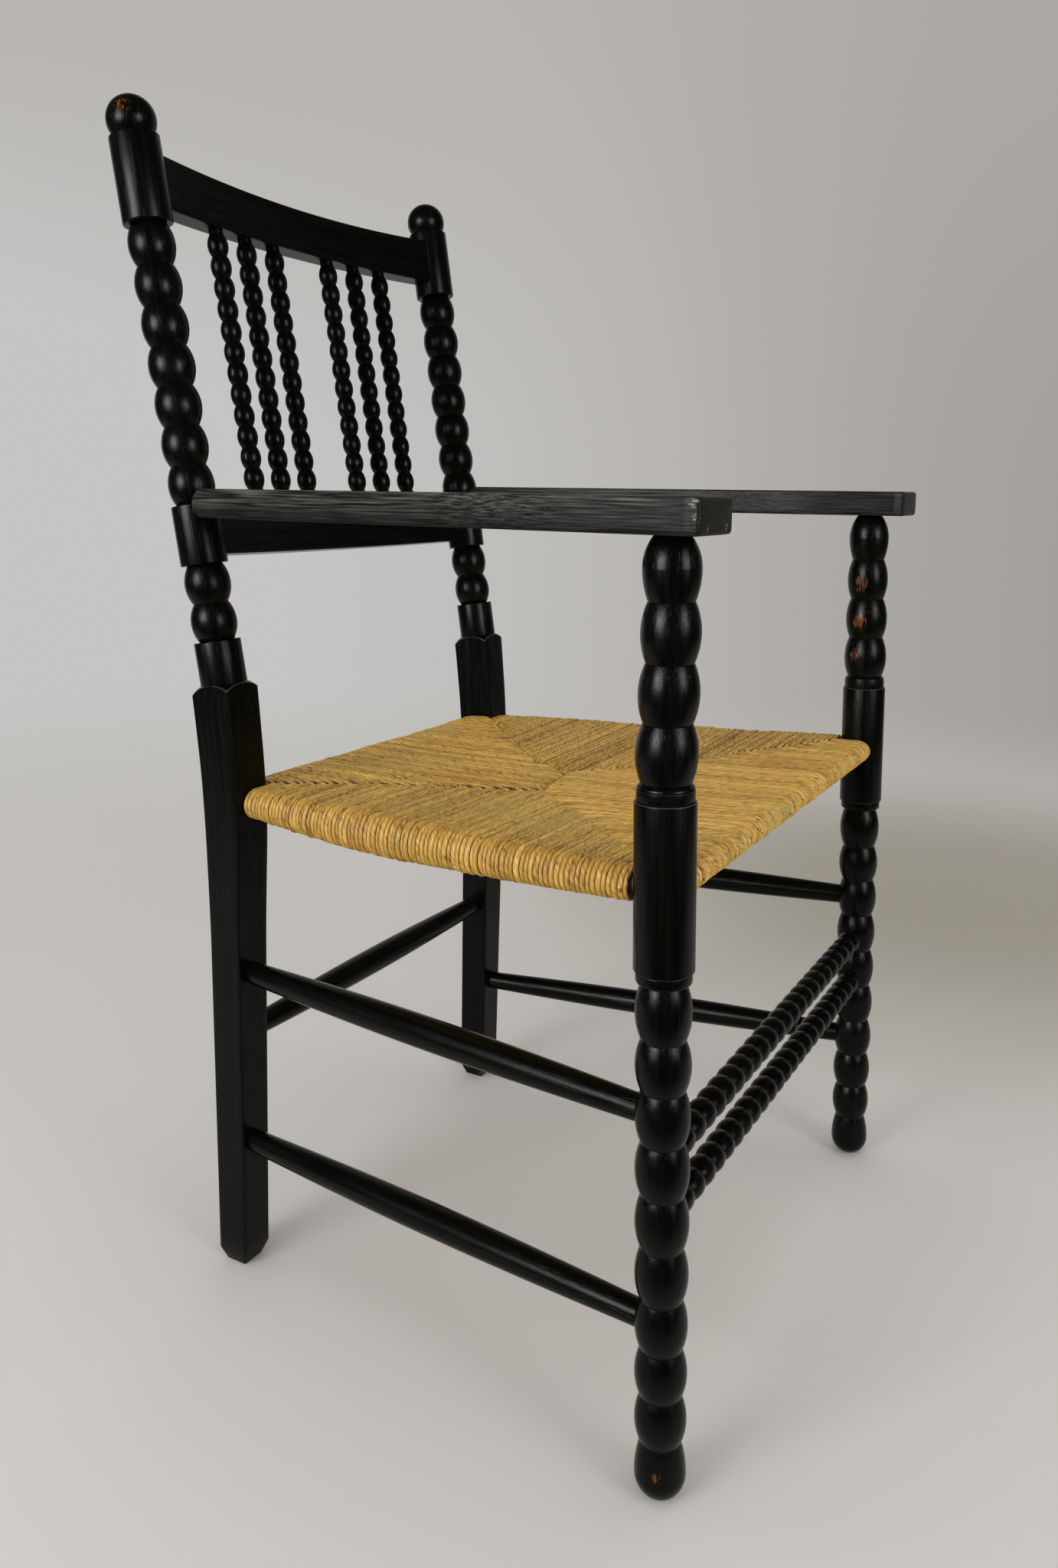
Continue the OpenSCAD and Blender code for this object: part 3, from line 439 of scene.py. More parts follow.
def squareLegSize(z):   # half width and half depth at a height
    p = backPost
    swell = p["kneeSwell"] * smooth((z - p["swellFrom"]) / p["swellOver"])
    depth = p["depthLow"] + p["depthGrowth"] * z + swell
    return (p["widths"][0] + (p["widths"][1] - p["widths"][0]) * z / p["shoulder"]) / 2, depth / 2


def roundedSquare(halfWide, halfDeep, radius, flat=7, corner=4):
    # once round a rectangle with rounded corners: points bunch at the corners
    turn = np.concatenate([np.linspace(0, pi / 2, corner + 1) + q * pi / 2 for q in range(4)])
    cx = np.repeat([1, -1, -1, 1], corner + 1)
    cy = np.repeat([1, 1, -1, -1], corner + 1)
    x = cx * (halfWide - radius)[..., None] + radius * np.cos(turn)
    y = cy * (halfDeep - radius)[..., None] + radius * np.sin(turn)
    edge = np.tile(np.sin(np.linspace(0, pi, corner + 1)), 4)
    step = np.linspace(0, 1, flat + 1)[1:-1]
    last = np.arange(corner, 4 * (corner + 1), corner + 1)   # the ends of the corners
    parts, wearAndPaintedLight = [], []
    for q, k in enumerate(last):
        m = (k + 1) % (4 * (corner + 1))
        sl = slice(k - corner, k + 1)
        parts += [np.stack([x[..., sl], y[..., sl]], -1),
                  np.stack([x[..., k, None] * (1 - step) + x[..., m, None] * step,
                            y[..., k, None] * (1 - step) + y[..., m, None] * step], -1)]
        wearAndPaintedLight += [edge[sl], step * 0]
    return np.concatenate(parts, -2), np.concatenate(wearAndPaintedLight)


def makeBackPost(side, name, node, material):
    p = backPost
    # rounded squares up the leg, the last one on the dome that the lathe left at the shoulder,
    # s = low + sqrt(R^2 - (r - c)^2); then the turned outline from the collar to the ball
    rake, shoulder = radians(p["rake"]), p["shoulder"]
    inset, taperTop = p["chamfer"]
    z = np.concatenate([[0], np.linspace(taperTop, shoulder, 41)])
    wide, deep = squareLegSize(z)
    wide[0], deep[0] = wide[0] - inset, deep[0] - inset
    section, wearAndPaintedLight = roundedSquare(wide, deep, p["arris"])
    foot = postLine(side, shoulder)
    x = side * p["spread"] / 2 + section[..., 0]
    y = squareLegLine(z)[:, None] + section[..., 1]
    c, low, radius = p["dome"]
    across, behind = x[-1] - foot[0], y[-1] - foot[1]
    top = np.full(len(across), shoulder)
    for step in range(4):   # where each upright edge meets the dome
        s = behind * sin(rake) + (top - shoulder) * cos(rake)
        r = np.sqrt(across ** 2 + behind ** 2 + (top - shoulder) ** 2 - s ** 2)
        domeHeight = low + np.sqrt(radius ** 2 - (r - c) ** 2)
        top = shoulder + (domeHeight - behind * sin(rake)) / cos(rake)
    share = np.clip((z - p["slopeFrom"]) / (shoulder - p["slopeFrom"]), 0, 1)[:, None]
    height = z[:, None] + share * (top - shoulder)
    wall = np.stack([x, y, height], -1)
    inward = np.linspace(1, 0, 8)[1:, None]   # rings over the dome to inside the collar
    ringR = p["domeTo"] + (r - p["domeTo"]) * inward
    bearing = np.arctan2(behind, across)
    domeS = low + np.sqrt(radius ** 2 - (ringR - c) ** 2)
    axisY, axisZ = np.array([0, cos(rake), -sin(rake)]), np.array([0, sin(rake), cos(rake)])
    dome = (foot + (ringR * np.cos(bearing))[..., None] * [1, 0, 0]
            + (ringR * np.sin(bearing))[..., None] * axisY + domeS[..., None] * axisZ)
    lip = wall[-1] * 0.94 + dome[0] * 0.06   # a narrow band round the rim, painted with a pale highlight line
    last = wall[-1:]
    rings = np.concatenate([wall[:-1], last - [0, 0, 1.2], last - [0, 0, 0.3], lip[None], dome])
    local = rings - [side * p["spread"] / 2, 0, 0]
    local[..., 1] -= squareLegLine(np.minimum(rings[..., 2], 505))
    edge = np.broadcast_to(wearAndPaintedLight, wall.shape[:2]) * 0.75
    # the two rings at the rim, at 2.2, carry the painted highlight line
    edge = np.concatenate([edge, np.full((2, len(wearAndPaintedLight)), 2.2), np.zeros(dome.shape[:2])])
    edge[0] = 1.0
    edge[1] = np.maximum(edge[1], 0.9)
    leg = shell(rings, local, edge, 5.3 + side)
    up = lambda height: (height - shoulder) * growUp
    blockLow, blockHigh, blockRadius = p["armBlock"]
    topLow, topHigh, topRadius = p["topBlock"]
    middle = up(p["top"] - p["ball"])
    turn = np.linspace(-0.9, pi / 2, 26)
    ball = np.stack([middle + p["ball"] * np.sin(turn), p["ball"] * np.cos(turn),
                     0.3 + 0.5 * np.cos(turn)], -1)
    ball = ball[ball[:, 0] > up(topHigh) - 0.01]
    profile, wearAndPaintedLight = outline(
        plain(p["collarFrom"], up(p["collarTop"]), p["collar"], 0.8, 0.3),
        beads(up(p["collarTop"]), up(blockLow), 2, p["bead"], p["neck"], rub=0.2),
        plain(up(blockLow), up(blockHigh), blockRadius, 0.8, 0.4),
        beads(up(blockHigh), up(topLow), 7, p["bead"], p["neck"], 16, rub=0.3),
        plain(up(topLow), up(topHigh), topRadius, 1.5, 0.5), ball)
    turned = lathe(foot, postLine(side, p["top"]), profile, wearAndPaintedLight, 7.7 + side)
    return makePiece(name, [leg, turned], material, [node])


# arms

arm = {
    "bottom": frontLeg["floorToArm"], "thick": 23.0, "overhang": 37.5, "frontWidth": 55.0,
    "rearWidth": 37.0, "waist": (70.0, 200.0), "taperFrom": 9.0, "corner": 2.2, "ease": 3.0,
    "arris": 1.6, "crowded": (12.0, 14.0),   # mm at the front and the rear where stations crowd
}


def roundOff(radius, inside):   # what a quarter circle takes off, this far inside an end
    return radius - np.sqrt(radius ** 2 - np.maximum(radius - inside, 0) ** 2)


def makeArm(side, name, node, material):
    # rounded rectangles carried from the front end back to the post: half width and half height
    # follow the plan and the eased ends, and the arris rounds every corner
    p = arm
    middle = p["bottom"][side] + p["thick"] / 2
    post = postLine(side, middle)
    rear = post[1] - backPost["armBlock"][2] + 1.2
    outerFront = frontLeg["spread"] / 2 + p["overhang"]
    atFront, atRear = p["crowded"]
    t = np.linspace(0, 1, 15)
    y = np.concatenate([-armReach + atFront * t ** 2,
                        np.linspace(atFront - armReach, rear - atRear, 40)[1:-1],
                        rear - atRear * (1 - t) ** 2])
    front, back = y + armReach, rear - y
    along = np.clip((y + armReach - p["taperFrom"]) / (post[1] + armReach - p["taperFrom"]), 0, 1)
    outer = outerFront + (abs(post[0]) + p["rearWidth"] / 2 - outerFront) * along
    # between the waist's two ends the inner edge is drawn in: front + (rear - front) * smooth(t)
    waist = smooth((y - p["waist"][0]) / (p["waist"][1] - p["waist"][0]))
    inner = outer - p["frontWidth"] - (p["rearWidth"] - p["frontWidth"]) * waist
    half = p["thick"] / 2
    wide = (outer - inner) / 2 - roundOff(p["corner"], front)
    high = np.maximum(half - roundOff(p["ease"], front) - roundOff(half, back), 1.0)
    section, edge = roundedSquare(wide, high, 1.0, 9, 4)
    soften = np.minimum(p["arris"], high * 0.9)[:, None]
    # the arris: points within the softening distance of a corner are pulled onto its arc
    dx = np.maximum(abs(section[..., 0]) - (wide[:, None] - soften), 0)
    dz = np.maximum(abs(section[..., 1]) - (high[:, None] - soften), 0)
    away = np.maximum(np.hypot(dx, dz), 1e-9)
    pull = np.where((dx > 0) & (dz > 0), np.minimum(soften / away, 1), 1)
    for k, half, beyond in ((0, wide, dx), (1, high, dz)):
        kept = np.minimum(abs(section[..., k]), half[:, None] - soften)
        section[..., k] = np.sign(section[..., k]) * (kept + beyond * pull)
    x = side * ((outer + inner)[:, None] / 2 + section[..., 0])
    rings = np.stack([x, np.broadcast_to(y[:, None], x.shape), middle + section[..., 1]], -1)
    local = np.stack([section[..., 0], section[..., 1], rings[..., 1]], -1)
    corner = abs(section[..., 0]) > wide[:, None] - 8   # hands have rubbed the front corners
    wearAndPaintedLight = edge * 0.55 + np.exp(-front / 10)[:, None] * 0.55 * corner
    return makePiece(name, [shell(rings, local, wearAndPaintedLight, 11.9 + side)], material, [node])


# bowed back rails

backRails = {
    "bow": 15.5, "thick": 20.0, "arris": 1.6, "stations": 61,
    "crest": {"z": 925.8, "depth": 43.5, "dip": 3.0, "reach": 8.0},
    "lower": {"z": 644.7, "depth": 35.2, "dip": 0.0, "reach": 8.0},
}
bowHalf = backPost["spread"] / 2
bowRadius = arcRadius(bowHalf, backRails["bow"])


def inBack(z, x, behind, rise):   # a point of the leaning back: across, backwards, up the lean
    rake = radians(backPost["rake"])
    y = postLine(1, z)[1] + behind * cos(rake) + rise * sin(rake)
    z = z - behind * sin(rake) + rise * cos(rake)
    return np.stack(np.broadcast_arrays(x, y, z), -1)


def makeBackRail(which, name, node, material):
    # a rounded rectangle carried along the bow's arc, its top dipping by dip * (1 - (x / half)^2)
    p = backRails[which]
    reach = postLine(1, p["z"])[0] - p["reach"]
    angle = np.linspace(-1, 1, backRails["stations"]) * np.arcsin(reach / bowRadius)
    centreBehind = backRails["bow"] - bowRadius
    half = np.full_like(angle, p["depth"] / 2)
    thick = np.full_like(angle, backRails["thick"] / 2)
    section, edge = roundedSquare(thick, half, backRails["arris"], 9, 4)
    x = bowRadius * np.sin(angle)
    dip = p["dip"] * np.maximum(1 - (x / bowHalf) ** 2, 0)
    up = section[..., 1]
    rise = up - dip[:, None] * np.clip(up / half[:, None] * 0.5 + 0.5, 0, 1)
    out = bowRadius + section[..., 0]
    rings = inBack(p["z"], out * np.sin(angle)[:, None],
                   centreBehind + out * np.cos(angle)[:, None], rise)
    local = np.stack([section[..., 0], rise, np.broadcast_to(x[:, None], rise.shape)], -1)
    return makePiece(name, [shell(rings, local, edge * 0.6, 17.1)], material, [node])


# spindles

spindle = {"pitch": (38.5, 39.3), "beads": 13, "bead": 9.0, "neck": 6.2, "stub": 3.5, "inside": 4}


def makeSpindle(k, name, node, material):
    p = spindle
    place = k - 3 if k < 3 else k - 2
    bow = lambda x: np.sqrt(bowRadius ** 2 - x * x) - (bowRadius - backRails["bow"])
    low, high = place * p["pitch"][0], place * p["pitch"][1]
    start = inBack(backRails["lower"]["z"], low, bow(low), backRails["lower"]["depth"] / 2)
    end = inBack(backRails["crest"]["z"], high, bow(high), -backRails["crest"]["depth"] / 2)
    long = np.linalg.norm(end - start)
    neck, stub, inside = p["neck"], p["stub"], p["inside"]   # inside: mm of each end in its rail
    profile, wearAndPaintedLight = outline([(-inside, 5.0, 0), (-inside, neck, 0), (stub, neck, 0)],
                            beads(stub, long - stub, p["beads"], p["bead"], neck, 12, rub=0.3),
                            [(long + inside, neck, 0), (long + inside, 5.0, 0)])
    body = lathe(start, end, profile, wearAndPaintedLight, 21.3 + k, 40)
    return makePiece(name, [body], material, [node])


# stretchers

stretchers = {   # heights are at the legs' middles, front and back, or right and left
    "end": 9.3, "middle": 12.4, "hidden": (14, 13), "taper": (17.9, 34),
    "sideUpper": (279.0, 273.5), "sideLower": (129.0, 117.0), "back": 213.0,
    "front": (248.8, 205.0), "drop": 10.9, "beads": 23, "bead": 10.75, "neck": 7.9, "tenon": 6.6,
}


def onSquareLeg(side, z):
    return np.array([side * backPost["spread"] / 2, squareLegLine(z), z])


def makePlainStretcher(start, end, name, node, material, seed):
    # thickest in the middle: r = end + (middle - end) * sin(180 degrees * s / length)
    p, long = stretchers, np.linalg.norm(np.subtract(end, start))
    s = np.linspace(p["hidden"][0], long - p["hidden"][1], 40)
    share = np.clip((s - p["taper"][0]) / (long - p["taper"][1]), 0, 1)
    r = p["end"] + (p["middle"] - p["end"]) * np.sin(share * pi)
    body = lathe(start, end, np.stack([s, r], -1), 0.35 + 0 * s, seed, 48)
    return makePiece(name, [body], material, [node])


def makeBeadedStretcher(height, name, node, material, seed):
    p = stretchers
    start, end = frontLegLine(-1, height), frontLegLine(1, height - p["drop"])
    long = np.linalg.norm(end - start)
    margin, tenon, hidden = frontLeg["highBead"] + 0.2, p["tenon"], p["hidden"][1]
    row = beads(margin, long - margin, p["beads"], p["bead"], p["neck"], 12, rub=0.6)
    profile, wearAndPaintedLight = outline([(hidden, tenon, 0), (margin, tenon, 0)], row,
                            [(long - margin, tenon, 0), (long - hidden, tenon, 0)])
    body = lathe(start, end, profile, wearAndPaintedLight, seed, 48)
    return makePiece(name, [body], material, [node])


# the wooden pieces; the last number of some is where their grain starts

black = ebonisedWood("ebonisedTurnedWood", turnedWood)
armBlack = ebonisedWood("ebonisedArmWood", armWood)
sides = ((-1, "right"), (1, "left"))
for make, piece, node, wood in ((makeFrontLeg, "frontLeg", "front_leg", black),
                                (makeBackPost, "backPost", "back_post", black),
                                (makeArm, "arm", "arm", armBlack)):
    for side, word in sides:
        make(side, piece + word.title(), f"{word}_{node}", wood)
print("legs, posts and arms made")
makeBackRail("crest", "crestRail", "crest_rail", black)
makeBackRail("lower", "lowerBackRail", "lower_back_rail", black)
for number in range(6):
    makeSpindle(number, f"backSpindle{number + 1}", f"back_spindle_{number + 1}", black)
print("back rails and spindles made")
for side, word in sides:
    for level in ("Upper", "Lower"):
        front, back = stretchers["side" + level]
        makePlainStretcher(frontLegLine(side, front), onSquareLeg(side, back),
                           f"sideStretcher{level}{word.title()}",
                           f"{word}_{level.lower()}_side_stretcher", black,
                           31.7 + side + front / 100)
ends = [onSquareLeg(side, stretchers["back"]) for side, word in sides]
makePlainStretcher(*ends, "backStretcher", "back_stretcher", black, 37.9)
for k, (level, seed) in enumerate((("Upper", 41.3), ("Lower", 43.9))):
    makeBeadedStretcher(stretchers["front"][k], "frontStretcher" + level,
                        f"{level.lower()}_front_stretcher", black, seed)
print("stretchers made")
plainBrown = hiddenRailWood()
for node in ("front_seat_rail", "back_seat_rail", "right_seat_rail", "left_seat_rail"):
    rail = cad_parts[node]
    rail.data.materials.clear()
    rail.data.materials.append(plainBrown)
print("seat rails dressed")


# rush seat: four panels of cords, each wound round its own rail and tucked under at the seams

rush = {
    "front": 434.5, "back": 424.0, "reach": 14.0, "thick": 22.5, "belly": 11.0, "dish": 4.0,
    "pitch": 4.15, "rollRib": 2.1, "topRib": 0.9, "rollRows": 13, "topRows": 30, "columns": 8,
    "uneven": 0.17, "lift": 0.34, "ragged": 1.1,   # shares of a pitch, mm of height, mm at the seam
    "turn": 8.5, "turnOver": 40, "swingOver": 11, "seamBand": 15,   # mm: cords swing as they dive
    "backHalf": 195.5, "diveRows": 6,
}
# tuck: mm short of the seam, how long and how deep the cords dive there; bold: how much deeper
# they stand apart by the seam, and all over; twist: radians per mm, on the roll and on the flat;
# along: where the cords lie on their rail; seam: where they end, as along against across
panels = {
    "rushRight": {
        "kind": "side", "side": -1, "seed": 3, "along": (32.5, 404.0),
        "seam": ((30.7, 193, 321.7, 415.7), (232.5, 82, 130, 185)),
        "tuck": (4.0, 3.0, 6.0), "bold": (0.3, 0.05), "twist": (0.36, 0.14)},
    "rushLeft": {
        "kind": "side", "side": 1, "seed": 5, "along": (32.5, 404.0),
        "seam": ((30.7, 160.7, 208, 255.7, 405.7), (232.5, 44, -8, 20, 185)),
        "tuck": (0.8, 5.0, 8.0), "bold": (0.8, 0.9), "twist": (-0.36, -0.18)},
    "rushFront": {
        "kind": "front", "seed": 7, "along": (-231.5, 231.5),
        "seam": ((-232.5, -82, -8, 44, 232.5), (30.7, 193, 208, 160.7, 30.7)),
        "tuck": (2.0, 4.0, 6.0), "bold": (0.5, 0.0), "twist": (-0.36, -0.26)},
    "rushBack": {
        "kind": "back", "seed": 11, "along": (-181.5, 181.5),
        "seam": ((-185, -130, -82, -8, 20, 185), (415.7, 321.7, 193, 208, 255.7, 405.7)),
        "tuck": (0.8, 4.0, 8.0), "bold": (1.1, 0.2), "twist": (-0.36, -0.20)},
}
seatFront = frontLegLine(1, rush["front"])[1] - rush["reach"]
seatBack = float(squareLegLine(rush["back"])) + rush["reach"]


def seatHalf(y):   # half the seat's width: straight from the front legs to the back legs
    a = frontLeg["spread"] / 2, frontLegLine(1, rush["front"])[1]
    b = rush["backHalf"], seatBack - rush["reach"]
    return a[0] + (b[0] - a[0]) * (y - a[1]) / (b[1] - a[1]) + rush["reach"]


def seatFaces(x, y):   # heights of the seat's upper and under faces away from the rolls
    a, v = np.clip(x / seatHalf(y), -1, 1), np.clip((y - seatFront) / (seatBack - seatFront), 0, 1)
    rail = rush["front"] + (rush["back"] - rush["front"]) * v
    upper = rail + rush["thick"] / 2 - rush["dish"] * (1 - a * a) * (1 - (2 * v - 1) ** 2)
    return upper, rail - rush["thick"] / 2 - rush["belly"] * np.sin(pi * v ** 1.3)


def waves(x, y, seed):   # slow unevenness: a few crossed sine waves, about -1 to 1
    r = np.random.default_rng(seed)
    total = 0 * x
    for k in range(5):
        fx, fy, phase = r.uniform(-1, 1) / 19, r.uniform(-1, 1) / 19, r.uniform(0, 6.28)
        total = total + np.sin(x * fx + y * fy + phase)
    return total / 3


def makeRushPanel(name, p, material):
    # one surface of two parameters: across the cords, each a ridge of height cos(theta), and along
    # them, from the seam over the top, round the rail's roll, and back underneath to the seam
    r = np.random.default_rng(p["seed"])
    start, stop = p["along"]
    count = int(round((stop - start) / rush["pitch"]))
    edges = np.linspace(start, stop, count + 1)
    edges[1:-1] += r.uniform(-rush["uneven"], rush["uneven"], count - 1) * rush["pitch"]
    theta = np.linspace(-pi / 2, pi / 2, rush["columns"] + 1)
    middle, half = (edges[:-1] + edges[1:]) / 2, np.diff(edges) / 2
    column = (middle[:, None] + half[:, None] * np.sin(theta)).ravel()
    owner = np.repeat(np.arange(count), rush["columns"] + 1)
    ridge = np.tile(np.cos(theta), count)
    tone, lift = r.uniform(0, 1, count)[owner], r.normal(0, rush["lift"], count)[owner]
    ragged = r.uniform(-1, 1, count)[owner]
    sideways = p["kind"] == "side"
    seamAt = 0.35 * column + 0.65 * middle[owner]
    turned = 0 * column if sideways else rush["turn"] * np.tanh(seamAt / rush["turnOver"])
    seamAt = seamAt + turned
    sign = -1.0 if p["kind"] == "front" else 1.0
    seam = np.interp(seamAt, *p["seam"]) * sign
    edge = {"side": seatHalf(column), "front": -seatFront, "back": seatBack}[p["kind"]]
    outer = 0 * column + edge
    flatEnd = outer - rush["reach"]
    past, tuckLong, tuckDeep = p["tuck"]
    seam = np.minimum(seam - past + ragged * rush["ragged"], flatEnd - 4)
    # rows on the flat crowd where the cords dive at the seam
    near = tuckLong * (1 - np.cos(np.linspace(0, pi / 2, rush["diveRows"] + 1)))[:-1]
    far = np.linspace(0, 1, rush["topRows"] - rush["diveRows"]) ** 1.5
    flat = np.concatenate([seam[:, None] + near, (seam + tuckLong)[:, None]
                           + (np.maximum(flatEnd - seam - tuckLong, 0.5))[:, None] * far], 1)
    inFrom = flat - seam[:, None]   # mm from the seam
    short = 1 - np.clip(inFrom / tuckLong, 0, 1)   # a quarter of an oval, going down
    dive = tuckDeep * (1 - np.sqrt(np.clip(1 - short ** 2, 0, 1)))
    phi = np.linspace(pi / 2, -pi / 2, rush["rollRows"] + 2)[1:-1]
    roll = outer[:, None] - rush["reach"] * (1 - np.cos(phi))
    allRound = lambda *rows: np.concatenate(rows, -1)   # the top, the roll and the underside
    u = allRound(flat, roll, flat[:, ::-1])
    flatCount, rollCount = flat.shape[1], roll.shape[1]
    ones = np.ones(flatCount)
    w = np.broadcast_to(column[:, None], u.shape)
    lie = lambda u, w: (p["side"] * u, w) if sideways else (w, sign * u)   # to x and y
    x, y = lie(u, w)
    upper, under = seatFaces(x, y)
    full = allRound(ones, np.sin(phi), -ones)
    seed = p["seed"]
    bumpy = waves(x, y, seed) * 0.45 + waves(x * 3.1, y * 3.1, seed + 1) * 0.22 + lift[:, None]
    topRib, rollRib = rush["topRib"], rush["rollRib"]
    ribDeep = allRound(topRib * ones, topRib + (rollRib - topRib) * np.cos(phi) ** 0.6,
                       rollRib * 0.8 * ones)
    bySeam, allOver = p["bold"]   # the cords stand up where they cross
    bold = bySeam * np.exp(-(inFrom / rush["seamBand"]) ** 2) + allOver
    bold = allRound(bold, 0 * roll, 0 * flat)
    diving = allRound(dive, 0 * roll, dive[:, ::-1])
    ribDeep = ribDeep + bold * 0.7 + np.clip(diving * 0.5, 0, 1.2)
    inward = ribDeep * (1 - ridge[:, None]) - np.minimum(bumpy, 0.5) + 0.5
    z = (upper + under) / 2 + (upper - under) / 2 * full - diving * full - inward * full
    onRoll = allRound(0 * ones, np.cos(phi), 0 * ones)
    u = u - inward * onRoll
    wander = waves(x * 1.7, y * 1.7, seed + 2) * 0.7 * allRound(
        np.linspace(0.4, 1, flatCount), np.ones(rollCount), ones)
    swing = turned[:, None] * np.exp(-(np.maximum(inFrom, 0) / rush["swingOver"]) ** 2)
    wander = wander + allRound(swing, 0 * roll, swing[:, ::-1])
    w = w + wander * np.clip(np.minimum(column - start, stop - column) / 12, 0, 1)[:, None]
    rings = np.stack([*lie(u, w), z], -1)
    step = np.linalg.norm(np.diff(rings, axis=1), axis=2)
    total = lambda steps: np.pad(np.cumsum(steps, 1), ((0, 0), (1, 0)))   # so far, from nought
    s = total(step)
    s = s - s[:, flatCount + rollCount // 2, None]   # counted from the roll's outermost line
    tight, loose = p["twist"]
    rate = loose + (tight - loose) * onRoll
    phase = np.tile(theta, count)[:, None] + total(step * (rate[1:] + rate[:-1]) / 2)
    lay = np.stack([phase, s, np.broadcast_to(tone[:, None], s.shape)], -1)
    wider = 2 - 0.8 * np.clip(bold - 0.6 * allOver, 0, 1)   # the gaps open where the cords cross
    shown = 0.18 + 0.82 * np.maximum(onRoll, np.minimum(bold, 1))
    # painted shade: darkest in the gaps between cords, more on the rolls, by the seams and where
    # cords dive
    groove = np.clip((1 - ridge[:, None]) ** wider * shown + diving / tuckDeep * 0.65, 0, 1)
    body = shell(rings, lay, groove)
    body["lay"], body["groove"] = body["grain"] * 1000, body["wearAndPaintedLight"]
    return makePiece(name, [body], material, ["rush_seat"], 75, ("lay", "groove"))


rushLooks = {   # shade is painted shade for the gaps between cords, fleck for short dark marks on them
    "dark": (0.165, 0.070, 0.011), "mid": (0.490, 0.268, 0.040), "light": (0.75, 0.480, 0.110),
    "green": (0.33, 0.26, 0.065), "shade": (0.030, 0.013, 0.004), "fleck": (0.075, 0.030, 0.009),
}


def rushMaterial():
    # the strands wind round each cord: noise on a circle of its phase, drawn out along its length s
    material, g = newMaterial("rushCord")
    lay = g.attribute("lay", "Vector")
    groove = g.attribute("groove")
    place = g.place()
    phase, s, tone = [g.split(lay, k) for k in range(3)]
    shift = tone * 91   # every cord reads its own part of the noise
    over, through = phase.run("COSINE"), phase.run("SINE")
    fibre = g.noise(g.join(over * 1.5 + shift, through * 1.5, s * 0.10), 1.0, 3.0, 0.62)
    fine = g.noise(g.join(over * 4.6 + shift, through * 4.6, s * 0.15), 1.0, 2.0, 0.6)
    patch = g.noise(place, 9, 3.0, 0.55)
    fleck = g.noise(g.join(tone * 500 + over * 0.5, s * 0.13, tone * 70 + through * 0.5), 1.0, 1.0)
    gap = g.noise(g.join(tone * 900, s * 0.11, tone * 300), 1.0, 1.0)   # the gaps aren't even
    shade = fibre * 0.86 + fine * 0.40 + tone * 0.15 + patch * 0.16 - 0.255
    colour = g.mix(shade.soft(0.30, 0.52), rushLooks["dark"], rushLooks["mid"])
    colour = g.mix(shade.soft(0.49, 0.74), colour, rushLooks["light"])
    colour = g.mix(patch.soft(0.50, 0.70) * 0.40, colour, rushLooks["green"])
    marked = fleck.soft(0.64, 0.72) * fibre.soft(0.40, 0.55) * 0.85
    colour = g.mix(marked, colour, rushLooks["fleck"])
    # painted shade in the gaps between cords, from the groove attribute
    colour = g.mix((groove * (gap * 1.8 + 0.1)).soft(0.08, 0.80) * 0.92, colour, rushLooks["shade"])
    normal = g.bump(fibre * 0.7 + fine * 0.3, 0.0011, 0.7)
    g.surface({"Base Color": colour, "Roughness": fine * 0.2 + 0.42, "Specular IOR Level": 0.20,
               "Normal": normal})
    return material


# the packing is real straw, coloured darker than the rush as painted shade, since it shows only in
# the gaps
packing = {
    "dark": (0.030, 0.015, 0.005), "light": (0.11, 0.060, 0.020), "straw": (90, 400, 400),
    "inset": 12, "edge": 13, "frontHalf": (33, 228), "backHalf": (400, 180), "under": 5.5,   # mm
}


def packingMaterial():
    material, g = newMaterial("seatPacking")
    straw = g.noise(g.stretch(g.place(), packing["straw"]), 1.0, 3.0, 0.6)
    g.surface({"Base Color": g.mix(straw.soft(0.4, 0.7), packing["dark"], packing["light"]),
               "Roughness": 0.8, "Normal": g.bump(straw, 0.001, 0.6)})
    return material


def makePacking(material):
    # the straw between the two layers: the seat's own faces drawn in by a few millimetres, each
    # ring a flattened oval, x = half * cos^0.6, z = deep * sin^0.5, narrower beside the four legs
    p = packing
    v = np.linspace(0, 1, 34)
    y = seatFront + p["inset"] + (seatBack - seatFront - 2 * p["inset"]) * v
    turn = np.linspace(0, 2 * pi, 72, endpoint=False)
    half = seatHalf(y)[:, None] - p["edge"]
    half = np.where((y < p["frontHalf"][0])[:, None], np.minimum(half, p["frontHalf"][1]), half)
    half = np.where((y > p["backHalf"][0])[:, None], np.minimum(half, p["backHalf"][1]), half)
    a = np.sign(np.cos(turn)) * abs(np.cos(turn)) ** 0.6
    x = half * a
    upper, under = seatFaces(x, y[:, None] + 0 * x)
    deep = np.clip((upper - under) / 2 - p["under"], 2, None)
    ends = np.sqrt(np.clip(1 - (abs(2 * v - 1)) ** 8, 0.05, 1))[:, None]
    z = (upper + under) / 2 + deep * np.sign(np.sin(turn)) * abs(np.sin(turn)) ** 0.5 * ends
    rings = np.stack([x, y[:, None] + 0 * x, z], -1)
    return makePiece("seatPacking", [shell(rings, rings)], material, ["rush_seat"], 60)


rushCord = rushMaterial()
for name, panel in panels.items():
    made = makeRushPanel(name, panel, rushCord)
    print(name, "made with", len(made.data.polygons), "faces")
makePacking(packingMaterial())


# floor, background, lamps and camera

